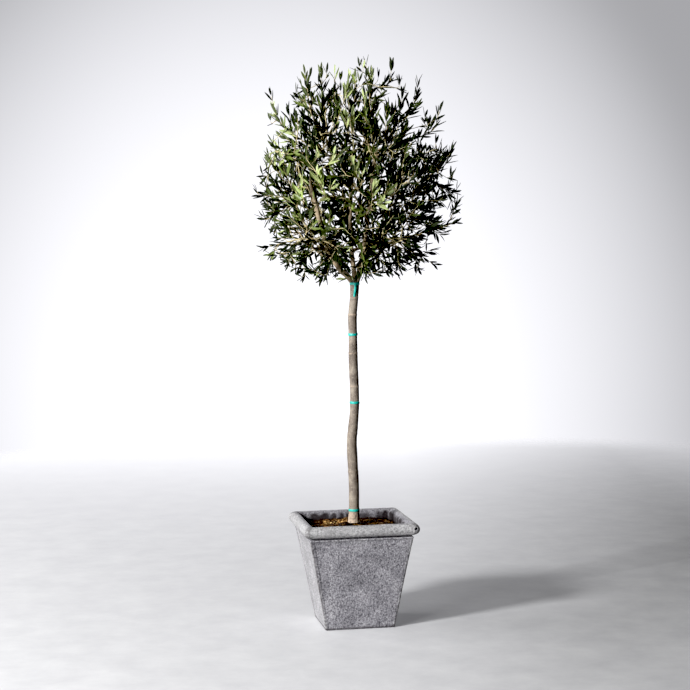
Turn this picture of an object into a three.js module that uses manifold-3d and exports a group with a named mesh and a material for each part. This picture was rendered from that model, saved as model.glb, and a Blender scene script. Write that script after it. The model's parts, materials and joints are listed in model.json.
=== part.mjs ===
// Potted olive tree: a small standard with a round crown, in a square planter with a rolled rim.
// Millimetres, +Z up. The origin is the middle of the planter's flat underside, its front face looks to -Y.
import * as THREE from 'three';
import { mergeVertices } from 'three/addons/utils/BufferGeometryUtils.js';
import Module from 'manifold-3d';

const wasm = await Module();
wasm.setup();

// Driving dimensions
const gap = 0.3;                    // between pieces that touch
const rimWidth = 420;               // planter, across the outside of the rim
const potHeight = 390;
const rimRadius = 21;               // of the round roll
const baseWidth = 255;
const bodyTopWidth = 376;
const wall = 19;
const floorThickness = 22;
const cornerRadius = 6;
const treeTurn = -10;               // degrees, the tree's front against the planter's front
const soilHeight = 365;             // edge of the root ball's top
const trunkFoot = 368;              // the trunk's flat cut, where it meets the soil
const forkHeight = 1252;
const leafLength = 122;             // one leaf stands for a spray of small ones
const leafWidth = 44;
const leafThickness = 2.4;
const shootLeafLength = 84;         // on the long shoots that stand out of the crown
const seed = 20;
const leastEdge = 0.01;             // corners nearer than this could merge

const up = new THREE.Vector3(0, 0, 1);

function material(name, colour, roughness) {
  const paint = new THREE.MeshStandardMaterial({ color: colour, roughness, metalness: 0 });
  paint.name = name;
  return paint;
}

const fibreClay = material('fibre_clay', 0x8d8b90, 0.85);
const barkMix = material('bark_mix', 0x4a3322, 0.95);
const bark = material('bark', 0x7d7263, 0.85);
const tiePlastic = material('tie_plastic', 0x12a594, 0.5);
const foliage = material('foliage', 0x5c6b47, 0.7);

// Repeatable numbers from 0 to 1
function randomFrom(start) {
  let state = start;
  return () => {
    state = (state + 0x6d2b79f5) | 0;
    let value = Math.imul(state ^ (state >>> 15), 1 | state);
    value = (value + Math.imul(value ^ (value >>> 7), 61 | value)) ^ value;
    return ((value ^ (value >>> 14)) >>> 0) / 4294967296;
  };
}

// Closed geometry to a solid that can be joined and cut
function toSolid(geometry) {
  const bare = geometry.clone();
  bare.deleteAttribute('normal');
  bare.deleteAttribute('uv');
  const merged = mergeVertices(bare, 1e-4);
  const corners = merged.index.array;
  const places = merged.attributes.position.array;
  const kept = [];
  for (let i = 0; i < corners.length; i += 3) {
    const [a, b, c] = [corners[i], corners[i + 1], corners[i + 2]];
    if (a !== b && b !== c && c !== a) kept.push(a, b, c);
  }
  return new wasm.Manifold(new wasm.Mesh({
    numProp: 3,
    vertProperties: new Float32Array(places),
    triVerts: new Uint32Array(kept),
  }));
}

// The largest body of a solid, its sealed hollows and loose scraps dropped
function largestBody(solid) {
  const bodies = solid.decompose();
  bodies.sort((a, b) => b.volume() - a.volume());
  return bodies[0];
}

// True where no two corners of a solid lie so close that they could merge
function cornersApart(solid) {
  const { vertProperties: places } = solid.getMesh();
  const count = places.length / 3;
  for (const shift of [0, 0.5]) {
    const cells = new Set();
    for (let i = 0; i < places.length; i += 3) {
      const cell = [0, 1, 2].map((axis) => Math.round(places[i + axis] / leastEdge + shift));
      cells.add(cell.join());
    }
    if (cells.size < count) return false;
  }
  return true;
}

// The two joined, or nothing where that leaves corners that could merge
function joined(solid, piece) {
  const both = solid.add(piece);
  return cornersApart(both) ? both : null;
}

function toMesh(name, solid, paint) {
  const { vertProperties, triVerts } = solid.getMesh();
  const geometry = new THREE.BufferGeometry();
  geometry.setAttribute('position', new THREE.BufferAttribute(vertProperties, 3));
  geometry.setIndex(new THREE.BufferAttribute(triVerts, 1));
  geometry.computeVertexNormals();
  const mesh = new THREE.Mesh(geometry, paint);
  mesh.name = name;
  return mesh;
}

// Planter and soil

// A lathe's rings pushed out from circles to squares with rounded corners
function squareLathe(profile) {
  const perCorner = 3;
  const around = 4 * perCorner;
  const points = profile.map(([half, height]) => new THREE.Vector2(half, height));
  const geometry = new THREE.LatheGeometry(points, around);
  const place = geometry.attributes.position;
  for (let k = 0; k <= around; k++) {
    const corner = Math.floor((k % around) / perCorner);
    const step = (k % perCorner) / (perCorner - 1);
    const angle = THREE.MathUtils.degToRad(90 * (corner + step));
    const diagonal = THREE.MathUtils.degToRad(90 * corner + 45);
    for (let j = 0; j < profile.length; j++) {
      const [half, height] = profile[j];
      const radius = Math.min(cornerRadius, half);
      const straight = half - radius;
      const x = straight * Math.sign(Math.cos(diagonal)) + radius * Math.cos(angle);
      const y = straight * Math.sign(Math.sin(diagonal)) + radius * Math.sin(angle);
      place.setXYZ(k * profile.length + j, half === 0 ? 0 : x, half === 0 ? 0 : y, height);
    }
  }
  return toSolid(geometry);
}

const rimMiddle = rimWidth / 2 - rimRadius;
const rimMiddleHeight = potHeight - rimRadius;
const bodyTopHeight = 335;
const fillClearance = gap + 1;      // between the fill's sides and the planter's wall

// Half width of the planter's inner wall at a height
function innerHalf(height) {
  const outer = THREE.MathUtils.mapLinear(height, 0, bodyTopHeight, baseWidth / 2, bodyTopWidth / 2);
  return outer - wall;
}

function makePot() {
  const bevel = 3;
  const ledge = 1.2;                // a fine raised line round the top of the body
  const cove = 3;                   // drawn in under the roll
  const profile = [
    [0, 0],
    [baseWidth / 2 - bevel, 0],
    [baseWidth / 2, bevel],
    [bodyTopWidth / 2, bodyTopHeight],
    [bodyTopWidth / 2 + ledge, bodyTopHeight + 1.5],
    [bodyTopWidth / 2 + ledge, bodyTopHeight + 4.5],
    [bodyTopWidth / 2 - cove, bodyTopHeight + 8],
  ];
  const rollStart = -105;
  const rollEnd = 180;
  const rollSteps = 11;
  for (let i = 0; i <= rollSteps; i++) {
    const angle = THREE.MathUtils.degToRad(THREE.MathUtils.lerp(rollStart, rollEnd, i / rollSteps));
    profile.push([rimMiddle + rimRadius * Math.cos(angle), rimMiddleHeight + rimRadius * Math.sin(angle)]);
  }
  profile.push([innerHalf(bodyTopHeight), bodyTopHeight]);
  profile.push([innerHalf(floorThickness), floorThickness]);
  profile.push([0, floorThickness]);
  const shell = squareLathe(profile);
  // A small blind hole in the front of the roll, near its right end
  const holeRadius = 4.2;
  const holeDepth = 12;
  const holeFromEnd = 16;
  const hole = new THREE.CylinderGeometry(holeRadius, holeRadius, 2 * holeDepth, 10);
  hole.translate(rimWidth / 2 - holeFromEnd, -rimWidth / 2, rimMiddleHeight + 3);
  return largestBody(shell.subtract(toSolid(hole)));
}

function makeSoil() {
  const fillHeight = 330;
  const ballRadius = 137;
  const ballDepth = 60;             // sunk into the fill
  const ballFacets = 28;
  const fill = squareLathe([
    [0, floorThickness + gap],
    [innerHalf(floorThickness) - fillClearance, floorThickness + gap],
    [innerHalf(fillHeight) - fillClearance, fillHeight],
    [0, fillHeight],
  ]);
  const ball = new THREE.LatheGeometry([
    new THREE.Vector2(0, fillHeight - ballDepth),
    new THREE.Vector2(ballRadius - 6, fillHeight - ballDepth),
    new THREE.Vector2(ballRadius, fillHeight),
    new THREE.Vector2(ballRadius - 1, soilHeight - 12),
    new THREE.Vector2(ballRadius - 9, soilHeight - 2),
    new THREE.Vector2(ballRadius - 30, soilHeight + 0.5),
    new THREE.Vector2(40, trunkFoot - gap),
    new THREE.Vector2(0, trunkFoot - gap),
  ], ballFacets);
  ball.rotateX(Math.PI / 2);
  return largestBody(fill.add(toSolid(ball)));
}

// Limbs

// A cylinder bent along a curve, with its radius a function of the way along (0 to 1).
// Its rings stand square to the curve, or lie level, and are turned by the spin.
function bentRod(curve, radiusAt, sides, steps, level = false, spin = 0) {
  const geometry = new THREE.CylinderGeometry(1, 1, 1, sides, steps);
  geometry.rotateY(spin);
  const place = geometry.attributes.position;
  const frames = curve.computeFrenetFrames(steps, false);
  if (level) {
    frames.normals.fill(new THREE.Vector3(1, 0, 0));
    frames.binormals.fill(new THREE.Vector3(0, 1, 0));
  }
  const centres = curve.getSpacedPoints(steps);
  const corner = new THREE.Vector3();
  for (let i = 0; i < place.count; i++) {
    const step = Math.round((place.getY(i) + 0.5) * steps);
    const radius = radiusAt(step / steps);
    corner.copy(centres[step]);
    corner.addScaledVector(frames.normals[step], radius * place.getX(i));
    corner.addScaledVector(frames.binormals[step], -radius * place.getZ(i));
    place.setXYZ(i, corner.x, corner.y, corner.z);
  }
  return toSolid(geometry);
}

// Straight ends: the curve runs on past both ends by the same length
function lengthened(curve, extra) {
  const steps = 24;
  const points = curve.getSpacedPoints(steps);
  points[0].addScaledVector(curve.getTangentAt(0), -extra);
  points[steps].addScaledVector(curve.getTangentAt(1), extra);
  return new THREE.CatmullRomCurve3(points);
}

// Trunk: height, sideways place and width, read up from the soil
const trunkShape = [
  [trunkFoot, 2, 46],
  [380, 3, 40],
  [430, 5, 37],
  [520, 5, 37],
  [667, 0, 37],
  [720, 4.5, 36],
  [785, 11, 33],
  [870, 12, 33],
  [960, 9, 33],
  [1050, 9, 31],
  [1130, 8, 33],
  [1196, 14.5, 31],
  [forkHeight, 17.5, 33],
  [forkHeight + 16, 17.5, 27],
];
const trunkPoints = trunkShape.map(([height, x]) => new THREE.Vector3(x, 0, height));
const trunkCurve = new THREE.CatmullRomCurve3(trunkPoints);

// Width of the trunk over two at a height
function trunkRadius(height) {
  let row = 1;
  while (row < trunkShape.length - 1 && trunkShape[row][0] < height) row++;
  const [low, , lowWidth] = trunkShape[row - 1];
  const [high, , highWidth] = trunkShape[row];
  return THREE.MathUtils.mapLinear(height, low, high, lowWidth, highWidth) / 2;
}

function trunkSolid(grow) {
  const sides = 12;
  const steps = 22;
  const centres = trunkCurve.getSpacedPoints(steps);
  const radiusAt = (along) => trunkRadius(centres[Math.round(along * steps)].z) + grow;
  return bentRod(trunkCurve, radiusAt, sides, steps, true);
}

const trunk = trunkSolid(0);
const grownTrunk = trunkSolid(gap);

// Plant ties: bands round the trunk, the top one with a tail that hangs down the front
const tieHeights = { tie_foot: 415, tie_low: 815, tie_high: 1065, tie_fork: 1244 };
const tieHeight = 10.5;
const tieThickness = 1.8;

function trunkCentre(height) {
  const along = THREE.MathUtils.inverseLerp(trunkFoot, forkHeight + 16, height);
  return trunkCurve.getPointAt(along);
}

function tieSolid(name, grow) {
  const height = tieHeights[name];
  const centre = trunkCentre(height);
  const radius = trunkRadius(height) + tieThickness + grow;
  const band = new THREE.CylinderGeometry(radius, radius, tieHeight + 2 * grow, 16);
  band.rotateX(Math.PI / 2);
  band.translate(centre.x, centre.y, height);
  let solid = toSolid(band);
  if (name === 'tie_fork') {
    const tailLength = 48;
    const tailWidth = 9;
    const tailDepth = 8;              // most of it is cut away by the trunk
    const tail = new THREE.BoxGeometry(tailWidth + 2 * grow, tailDepth + 2 * grow, tailLength);
    tail.translate(centre.x + 1, tailDepth / 2 - radius - 0.6, height - tailLength / 2);
    solid = solid.add(toSolid(tail));
  }
  return solid;
}

// Boughs: three from the fork, each with side boughs. Points are across, back and height.
const mainBoughs = {
  left: { base: 10.5, tip: 5, points: [[17, 0, 1250], [-8, -4, 1278], [-38, -12, 1306], [-85, -24, 1400],
    [-115, -34, 1520], [-136, -34, 1620], [-120, -30, 1705]] },
  right: { base: 10, tip: 5, points: [[20, 0, 1248], [36, -2, 1290], [46, -6, 1345], [62, -12, 1440],
    [80, -24, 1570], [96, -36, 1705]] },
  back: { base: 9, tip: 5, points: [[17, 3, 1248], [16, 22, 1292], [10, 52, 1350], [4, 74, 1460],
    [10, 84, 1590], [16, 92, 1700]] },
};

// Foliage masses: middle of each mass's share of the crown, the bough that carries it and where it leaves it
const masses = {
  lower_front_left: { at: [-185, -190, 1405], from: 'left', along: 0.3 },
  lower_front_right: { at: [220, -190, 1410], from: 'right', along: 0.25 },
  lower_back_right: { at: [210, 195, 1400], from: 'back', along: 0.28 },
  lower_back_left: { at: [-180, 190, 1412], from: 'left', along: 0.2 },
  middle_front: { at: [15, -150, 1590], from: 'right', along: 0.5 },
  middle_right: { at: [180, 5, 1600], from: 'right', along: 0.64 },
  middle_back: { at: [10, 160, 1590], from: 'back', along: 0.52 },
  middle_left: { at: [-150, 15, 1600], from: 'left', along: 0.5 },
  top_left: { at: [-65, -25, 1765], from: 'left' },
  top_right: { at: [80, -45, 1775], from: 'right' },
  top_back: { at: [20, 65, 1765], from: 'back' },
};
const massNames = Object.keys(masses);
for (const name of massNames) masses[name].centre = new THREE.Vector3(...masses[name].at);

const limbs = [];

function addLimb(name, curve, base, tip, sides, steps, cutters) {
  const radiusAt = (along) => THREE.MathUtils.lerp(base, tip, along);
  const grown = (along) => radiusAt(along) + gap;
  let solid = bentRod(curve, radiusAt, sides, steps);
  for (const cutter of cutters) solid = solid.subtract(cutter);
  limbs.push({
    name,
    curve,
    radiusAt,
    solid: largestBody(solid),
    grown: bentRod(lengthened(curve, gap), grown, sides, steps),
  });
}

const boughSides = 7;
const boughSteps = 12;
const tieCutter = tieSolid('tie_fork', gap);
for (const [name, bough] of Object.entries(mainBoughs)) {
  const curve = new THREE.CatmullRomCurve3(bough.points.map((point) => new THREE.Vector3(...point)));
  bough.curve = curve;
  const cutters = [grownTrunk, tieCutter, ...limbs.map((limb) => limb.grown)];
  addLimb(`bough_${name}`, curve, bough.base, bough.tip, boughSides, boughSteps, cutters);
}

// Side boughs run most of the way from their bough to the middle of a mass
const sideTip = 3.6;
const sideShare = 0.75;             // of the bough's own radius where they leave it
const sideSides = 6;
const sideSteps = 5;
for (const name of massNames) {
  const mass = masses[name];
  const parent = mainBoughs[mass.from];
  mass.bough = `bough_${mass.from}`;
  if (mass.along === undefined) continue;
  const start = parent.curve.getPointAt(mass.along);
  const parentWay = parent.curve.getTangentAt(mass.along);
  const end = start.clone().lerp(mass.centre, 0.6);
  const reach = start.distanceTo(end);
  const outward = end.clone().sub(start).normalize();
  const leave = outward.clone().addScaledVector(parentWay, 0.35).normalize();
  const curve = new THREE.CubicBezierCurve3(
    start,
    start.clone().addScaledVector(leave, reach * 0.4),
    end.clone().addScaledVector(outward, -reach * 0.3).addScaledVector(up, -reach * 0.06),
    end,
  );
  const parentRadius = THREE.MathUtils.lerp(parent.base, parent.tip, mass.along);
  mass.bough = `bough_${name}`;
  const cutters = [grownTrunk, ...limbs.map((limb) => limb.grown)];
  addLimb(mass.bough, curve, parentRadius * sideShare, sideTip, sideSides, sideSteps, cutters);
}

// Shape of the crown: height, and reach to the left and to the right of the tree's middle line
const crownShape = [
  [1262, 120, 90],
  [1290, 225, 235],
  [1350, 285, 300],
  [1450, 290, 350],
  [1540, 310, 372],
  [1640, 300, 356],
  [1750, 272, 345],
  [1850, 262, 305],
  [1930, 232, 250],
  [2000, 165, 205],
  [2045, 60, 90],
];
const crownMiddle = new THREE.Vector3(15, 0, 1590);

// How far the crown reaches from its middle line at a height, towards an angle round it
function crownReach(height, angle) {
  const last = crownShape.length - 1;
  if (height <= crownShape[0][0] || height >= crownShape[last][0]) return 0;
  let row = 1;
  while (crownShape[row][0] < height) row++;
  const [low, lowLeft, lowRight] = crownShape[row - 1];
  const [high, highLeft, highRight] = crownShape[row];
  const share = (height - low) / (high - low);
  const left = THREE.MathUtils.lerp(lowLeft, highLeft, share);
  const right = THREE.MathUtils.lerp(lowRight, highRight, share);
  return (left + right) / 2 + (right - left) / 2 * Math.cos(angle);
}

function insideCrown(point, slack) {
  const height = THREE.MathUtils.clamp(point.z, crownShape[0][0] + 1, crownShape.at(-1)[0] - 1);
  if (Math.abs(height - point.z) > slack) return false;
  return Math.hypot(point.x, point.y) < crownReach(height, Math.atan2(point.y, point.x)) + slack;
}

// Where the crown's surface lies from its middle towards a direction
function crownSurface(direction) {
  const halvings = 24;
  let near = 0;
  let far = 900;
  for (let i = 0; i < halvings; i++) {
    const half = (near + far) / 2;
    const point = crownMiddle.clone().addScaledVector(direction, half);
    if (insideCrown(point, 0)) near = half;
    else far = half;
  }
  return near;
}

// Shoots point outwards, upright in the upper crown and drooping at its lower edge
function growthAt(point) {
  const level = 1400;               // shoots at this height point straight outwards
  const lowest = 1290;
  const rise = 610;                 // from there to where shoots stand upright
  const droop = 0.5;
  const out = new THREE.Vector3(point.x - crownMiddle.x, point.y, (point.z - level) * 0.6).normalize();
  const height = THREE.MathUtils.clamp((point.z - lowest) / rise, 0, 1.1);
  return out.addScaledVector(up, 3 * height ** 1.2 - droop).normalize();
}

// A mass keeps to the points that are nearer to its own middle than to any other's
function insideShare(mass, point, margin) {
  for (const name of massNames) {
    const other = masses[name];
    if (other === mass) continue;
    const across = mass.centre.clone().sub(other.centre);
    const spread = across.length();
    const middle = mass.centre.clone().add(other.centre).multiplyScalar(0.5);
    if (point.clone().sub(middle).dot(across) / spread < margin) return false;
  }
  return true;
}

// Points along the boughs and the top of the trunk, which twigs and leaves keep clear of
const limbMargin = 2.5;
const limbPoints = limbs.flatMap(({ curve, radiusAt }) => {
  const steps = 60;
  return curve.getSpacedPoints(steps).map((point, i) => ({ point, radius: radiusAt(i / steps) }));
});
const trunkTopSteps = 30;
for (let i = 0; i <= trunkTopSteps; i++) {
  const point = trunkCurve.getPointAt(0.9 + 0.1 * i / trunkTopSteps);
  limbPoints.push({ point, radius: trunkRadius(point.z) });
}

function clearOfLimbs(point, radius) {
  return limbPoints.every((limb) => limb.point.distanceTo(point) > limb.radius + radius + limbMargin);
}

// Long shoots that stand out of the crown: tip's place across, back and height
const longShoots = [
  [-281, -20, 1966],
  [-154, -60, 2036],
  [-98, 40, 2048],
  [-46, -70, 2036],
  [30, 60, 2030],
  [88, -90, 2026],
  [164, -10, 2068],
  [262, 30, 2008],
  [338, -30, 1902],
  [392, 30, 1770],
  [412, -60, 1478],
  [-338, -40, 1380],
  [330, -50, 1302],
  [60, -330, 1930],
  [40, 330, 1950],
];

// Ends of all shoots: spread over the crown's surface, then over a smaller one inside it, then the long ones
const outerTips = 94;
const innerTips = 40;
const innerDepth = 0.62;
const random = randomFrom(seed);
const shootTips = [];

function addTips(count, depth) {
  const goldenAngle = Math.PI * (3 - Math.sqrt(5));
  for (let k = 0; k < count; k++) {
    const rise = 1 - 2 * (k + 0.5) / count;
    const flat = Math.sqrt(1 - rise * rise);
    const angle = goldenAngle * k + random();
    const direction = new THREE.Vector3(flat * Math.cos(angle), flat * Math.sin(angle), rise);
    const distance = crownSurface(direction) * (depth + 0.1 * (random() - 0.6));
    const end = crownMiddle.clone().addScaledVector(direction, distance);
    shootTips.push({ end, leaf: leafLength, long: false });
  }
}

addTips(outerTips, 1);
addTips(innerTips, innerDepth);
for (const place of longShoots) {
  shootTips.push({ end: new THREE.Vector3(...place), leaf: shootLeafLength, long: true });
}

const twigSides = 3;
const twigStep = 80;                // length of one straight piece
const stemBase = 3.6;
const stemTip = 2.8;
const twigBase = 2.6;
const twigTip = 2;
const rootShare = 0.42;             // a twig's root against its parent's radius, so that it is all inside
const joinSpacing = 9;              // least distance along a parent between two twigs
const joinStart = 0.25;             // the stretch of a parent that twigs leave from, and the step along it
const joinEnd = 0.94;
const joinStep = 0.07;
const shortestTwig = 40;
const joinsTried = 40;
const ownWays = [0, 0.35, 0.7, 1];  // how far shoots turn from the crown's growth to away from their mass

// One twig: a three-sided rod along a curve that leaves its parent and ends with the crown's growth
function makeTwig(start, leave, end, arrive, base, tip, before) {
  const reach = start.distanceTo(end);
  const curve = new THREE.CubicBezierCurve3(
    start,
    start.clone().addScaledVector(leave, reach * 0.35),
    end.clone().addScaledVector(arrive, -reach * 0.35),
    end,
  );
  const length = curve.getLength();
  const steps = Math.max(2, Math.round(length / twigStep));
  const joints = curve.getSpacedPoints(steps);
  return { curve, length, steps, joints, root: base, base, tip, before, taken: [] };
}

// Place and way on a twig's middle line, which is straight from joint to joint
function onTwig(twig, along) {
  const step = Math.min(twig.steps - 1, Math.floor(along * twig.steps));
  const [from, to] = [twig.joints[step], twig.joints[step + 1]];
  return {
    point: from.clone().lerp(to, along * twig.steps - step),
    way: to.clone().sub(from).normalize(),
  };
}

function twigFits(mass, twig) {
  const checks = Math.ceil(twig.length / 8);
  for (let i = 0; i <= checks; i++) {
    const { point } = onTwig(twig, i / checks);
    if (!insideShare(mass, point, twig.base + 1)) return false;
    if (twig.before > 0 && !clearOfLimbs(point, twig.base)) return false;
  }
  return true;
}

function growTwigs(mass) {
  const limb = limbs.find(({ name }) => name === mass.bough);
  const way = limb.curve.getTangentAt(1);
  const start = limb.curve.getPointAt(1).addScaledVector(way, gap);
  const own = shootTips.filter(({ end }) => insideShare(mass, end, 4));
  for (const tip of own) {
    const growth = growthAt(tip.end);
    const outward = tip.end.clone().sub(mass.centre).normalize();
    for (const share of ownWays) {
      tip.way = growth.clone().lerp(outward, share).normalize();
      tip.twigEnd = tip.end.clone().addScaledVector(tip.way, -tip.leaf * 0.92);
      if (insideShare(mass, tip.twigEnd, 6) && clearOfLimbs(tip.twigEnd, 3)) break;
    }
  }
  own.sort((a, b) => a.twigEnd.distanceTo(start) - b.twigEnd.distanceTo(start));
  const heart = start.clone().lerp(mass.centre, 0.75).addScaledVector(way, 20);
  const stem = makeTwig(start, way, heart, growthAt(heart), stemBase, stemTip, 0);
  const twigs = [stem];
  for (const tip of own) {
    const joins = [];
    for (const parent of twigs) {
      for (let along = joinStart; along < joinEnd; along += joinStep) {
        if (parent.taken.some((used) => Math.abs(used - along) * parent.length < joinSpacing)) continue;
        const { point: from, way: parentWay } = onTwig(parent, along);
        const towards = tip.twigEnd.clone().sub(from);
        const far = towards.length();
        if (far < shortestTwig) continue;
        const before = parent.before + parent.length * along;
        const turn = towards.normalize().dot(parentWay);
        // Short twigs that keep their parent's way are best, near the stem
        const cost = far * (1.35 - 0.35 * turn) + 0.4 * before;
        joins.push({ from, parent, along, parentWay, before, cost });
      }
    }
    joins.sort((a, b) => a.cost - b.cost);
    for (const join of joins.slice(0, joinsTried)) {
      const towards = tip.twigEnd.clone().sub(join.from).normalize();
      const leave = towards.clone().addScaledVector(join.parentWay, 0.5).normalize();
      const parentRadius = THREE.MathUtils.lerp(join.parent.base, join.parent.tip, join.along);
      const twig = makeTwig(join.from, leave, tip.twigEnd, tip.way, twigBase, twigTip, join.before);
      twig.root = parentRadius * rootShare;
      if (twigFits(mass, twig)) {
        twig.leaf = tip.leaf;
        twig.long = tip.long;
        twig.way = tip.way;
        twigs.push(twig);
        join.parent.taken.push(join.along);
        break;
      }
    }
  }
  return twigs;
}

const widestAt = 0.45;              // of the leaf's length from its root
const rootDepth = 0.9;              // of a leaf past its twig's middle line
const leafSpacing = 14;
const pairSpacing = 62;             // along a twig from one pair of leaves to the next
const longPairSpacing = 46;
const pairStagger = 3;              // times pi, between the two leaves of a pair
const leafSpread = 44;              // degrees from the twig
const longLeafSpread = 28;
const crownSlack = 16;              // how far leaves may stand out of the crown
const longSlack = 400;
const bladeProfile = [new THREE.Vector2(0, -1), new THREE.Vector2(1, 0), new THREE.Vector2(0, 1)];
// Where a leaf doesn't fit it is turned round its twig, and then made smaller
const endTries = [1, 0.8, 0.6].flatMap((scale) => [0, 1, -1].map((roll) => [roll, scale]));
const twists = [0, 0.6, -0.6, 1.2, -1.2];
const leafTries = [1, 0.85, 0.7, 0.55].flatMap((scale) => twists.map((twist) => [twist, scale]));

// One leaf: a three-sided lathe drawn out to a flat blade with a low keel under it
function makeLeaf(root, way, face, length) {
  const side = new THREE.Vector3().crossVectors(way, face).normalize();
  const front = new THREE.Vector3().crossVectors(side, way).normalize();
  const width = leafWidth * length / leafLength;
  const widest = root.clone().addScaledVector(way, length * widestAt);
  const geometry = new THREE.LatheGeometry(bladeProfile, 3);
  const place = geometry.attributes.position;
  const corner = new THREE.Vector3();
  for (let i = 0; i < place.count; i++) {
    const [x, y, z] = [place.getX(i), place.getY(i), place.getZ(i)];
    corner.copy(y > 0.5 ? root.clone().addScaledVector(way, length) : y < -0.5 ? root : widest);
    corner.addScaledVector(side, x * width / Math.sqrt(3));
    corner.addScaledVector(front, z * leafThickness / 1.5);
    place.setXYZ(i, corner.x, corner.y, corner.z);
  }
  const corners = [root.clone().addScaledVector(way, length)];
  corners.push(widest.clone().addScaledVector(side, width / 2));
  corners.push(widest.clone().addScaledVector(side, -width / 2));
  return { geometry, corners, root, way, length };
}

// Leaves of one mass keep a little apart past their roots
function clearOfLeaves(leaf, leaves) {
  const pastRoot = leaf.root.clone().addScaledVector(leaf.way, leaf.length * 0.2);
  const line = new THREE.Line3(pastRoot, leaf.corners[0]);
  const nearest = new THREE.Vector3();
  for (const other of leaves) {
    for (let i = 1; i <= 5; i++) {
      const point = other.root.clone().addScaledVector(other.way, other.length * i / 5);
      line.closestPointToPoint(point, true, nearest);
      if (nearest.distanceTo(point) < leafSpacing) return false;
    }
  }
  return true;
}

function leafFits(mass, leaf, slack) {
  if (!leaf.corners.every((corner) => insideShare(mass, corner, leafThickness / 2 + 0.8))) return false;
  if (!leaf.corners.every((corner) => insideCrown(corner, slack))) return false;
  const steps = 10;
  for (let i = 1; i <= steps; i++) {
    const along = i / steps;
    const point = leaf.root.clone().addScaledVector(leaf.way, leaf.length * along);
    const half = leafWidth / 2 * Math.min(along / widestAt, (1 - along) / (1 - widestAt)) + 1.5;
    if (!clearOfLimbs(point, half)) return false;
  }
  return true;
}

function growLeaves(mass, twigs) {
  const leaves = [];
  const inOrder = twigs.slice(1).sort((a, b) => b.long - a.long);
  for (const twig of inOrder) {
    const spacing = twig.long ? longPairSpacing : pairSpacing;
    const slack = twig.long ? longSlack : crownSlack;
    const spread = THREE.MathUtils.degToRad(twig.long ? longLeafSpread : leafSpread);
    const endWay = twig.way;
    const endRoot = onTwig(twig, 1).point.addScaledVector(endWay, -rootDepth);
    for (const [roll, scale] of endTries) {
      const face = new THREE.Vector3().crossVectors(endWay, up).cross(endWay).applyAxisAngle(endWay, roll);
      const leaf = makeLeaf(endRoot, endWay, face, twig.leaf * scale);
      if (leafFits(mass, leaf, slack) && clearOfLeaves(leaf, leaves)) {
        leaves.push(leaf);
        break;
      }
    }
    let turn = random() * Math.PI;
    for (let back = 24; back < twig.length - 20; back += spacing) {
      for (const half of [0, Math.PI]) {
        const { point, way } = onTwig(twig, 1 - (back + half * pairStagger) / twig.length);
        const angle = spread + 0.25 * (random() - 0.5);
        const size = twig.leaf * (0.85 + 0.25 * random());
        const tilt = 0.3 + 0.5 * random();
        for (const [twist, scale] of leafTries) {
          const side = new THREE.Vector3().crossVectors(way, up).normalize();
          side.applyAxisAngle(way, turn + half + twist);
          const lean = angle * scale;
          const leafWay = way.clone().multiplyScalar(Math.cos(lean)).addScaledVector(side, Math.sin(lean));
          const face = up.clone().addScaledVector(way, tilt);
          const root = point.clone().addScaledVector(leafWay, -rootDepth);
          const leaf = makeLeaf(root, leafWay.normalize(), face, size * scale);
          if (leafFits(mass, leaf, slack) && clearOfLeaves(leaf, leaves)) {
            leaves.push(leaf);
            break;
          }
        }
      }
      turn += Math.PI / 2;
    }
  }
  return leaves;
}

// Where a piece can't be joined cleanly it is turned or moved a little and tried again
const rodSpins = [0, 0.35, 0.7, 1.05];
const leafNudges = [0, 0.4, -0.4, 0.8];

function massSolid(mass) {
  const twigs = growTwigs(mass);
  const leaves = growLeaves(mass, twigs);
  let solid = null;
  for (const twig of twigs) {
    const radiusAt = (along) => (along === 0 ? twig.root : THREE.MathUtils.lerp(twig.base, twig.tip, along));
    for (const spin of rodSpins) {
      const rod = bentRod(twig.curve, radiusAt, twigSides, twig.steps, false, spin);
      const both = solid ? joined(solid, rod) : rod;
      solid = both ?? solid;
      if (both) break;
    }
  }
  for (const leaf of leaves) {
    for (const nudge of leafNudges) {
      const { x, y, z } = leaf.way.clone().multiplyScalar(nudge);
      const both = joined(solid, toSolid(leaf.geometry.clone().translate(x, y, z)));
      solid = both ?? solid;
      if (both) break;
    }
  }
  return largestBody(solid);
}

// Assembly
const tree = new THREE.Group();
tree.rotation.z = THREE.MathUtils.degToRad(treeTurn);
tree.add(toMesh('trunk', trunk, bark));
for (const name of Object.keys(tieHeights)) {
  tree.add(toMesh(name, largestBody(tieSolid(name, 0).subtract(grownTrunk)), tiePlastic));
}
for (const limb of limbs) tree.add(toMesh(limb.name, limb.solid, bark));
for (const name of massNames) tree.add(toMesh(`foliage_${name}`, massSolid(masses[name]), foliage));

const olive = new THREE.Group();
olive.add(toMesh('pot', makePot(), fibreClay));
olive.add(toMesh('soil', makeSoil(), barkMix));
olive.add(tree);

export default olive;
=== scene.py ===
# Potted olive tree: bark, twigs, leaves, planter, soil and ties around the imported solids
import json
import math

import bpy
import numpy as np
from mathutils import Matrix

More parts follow.
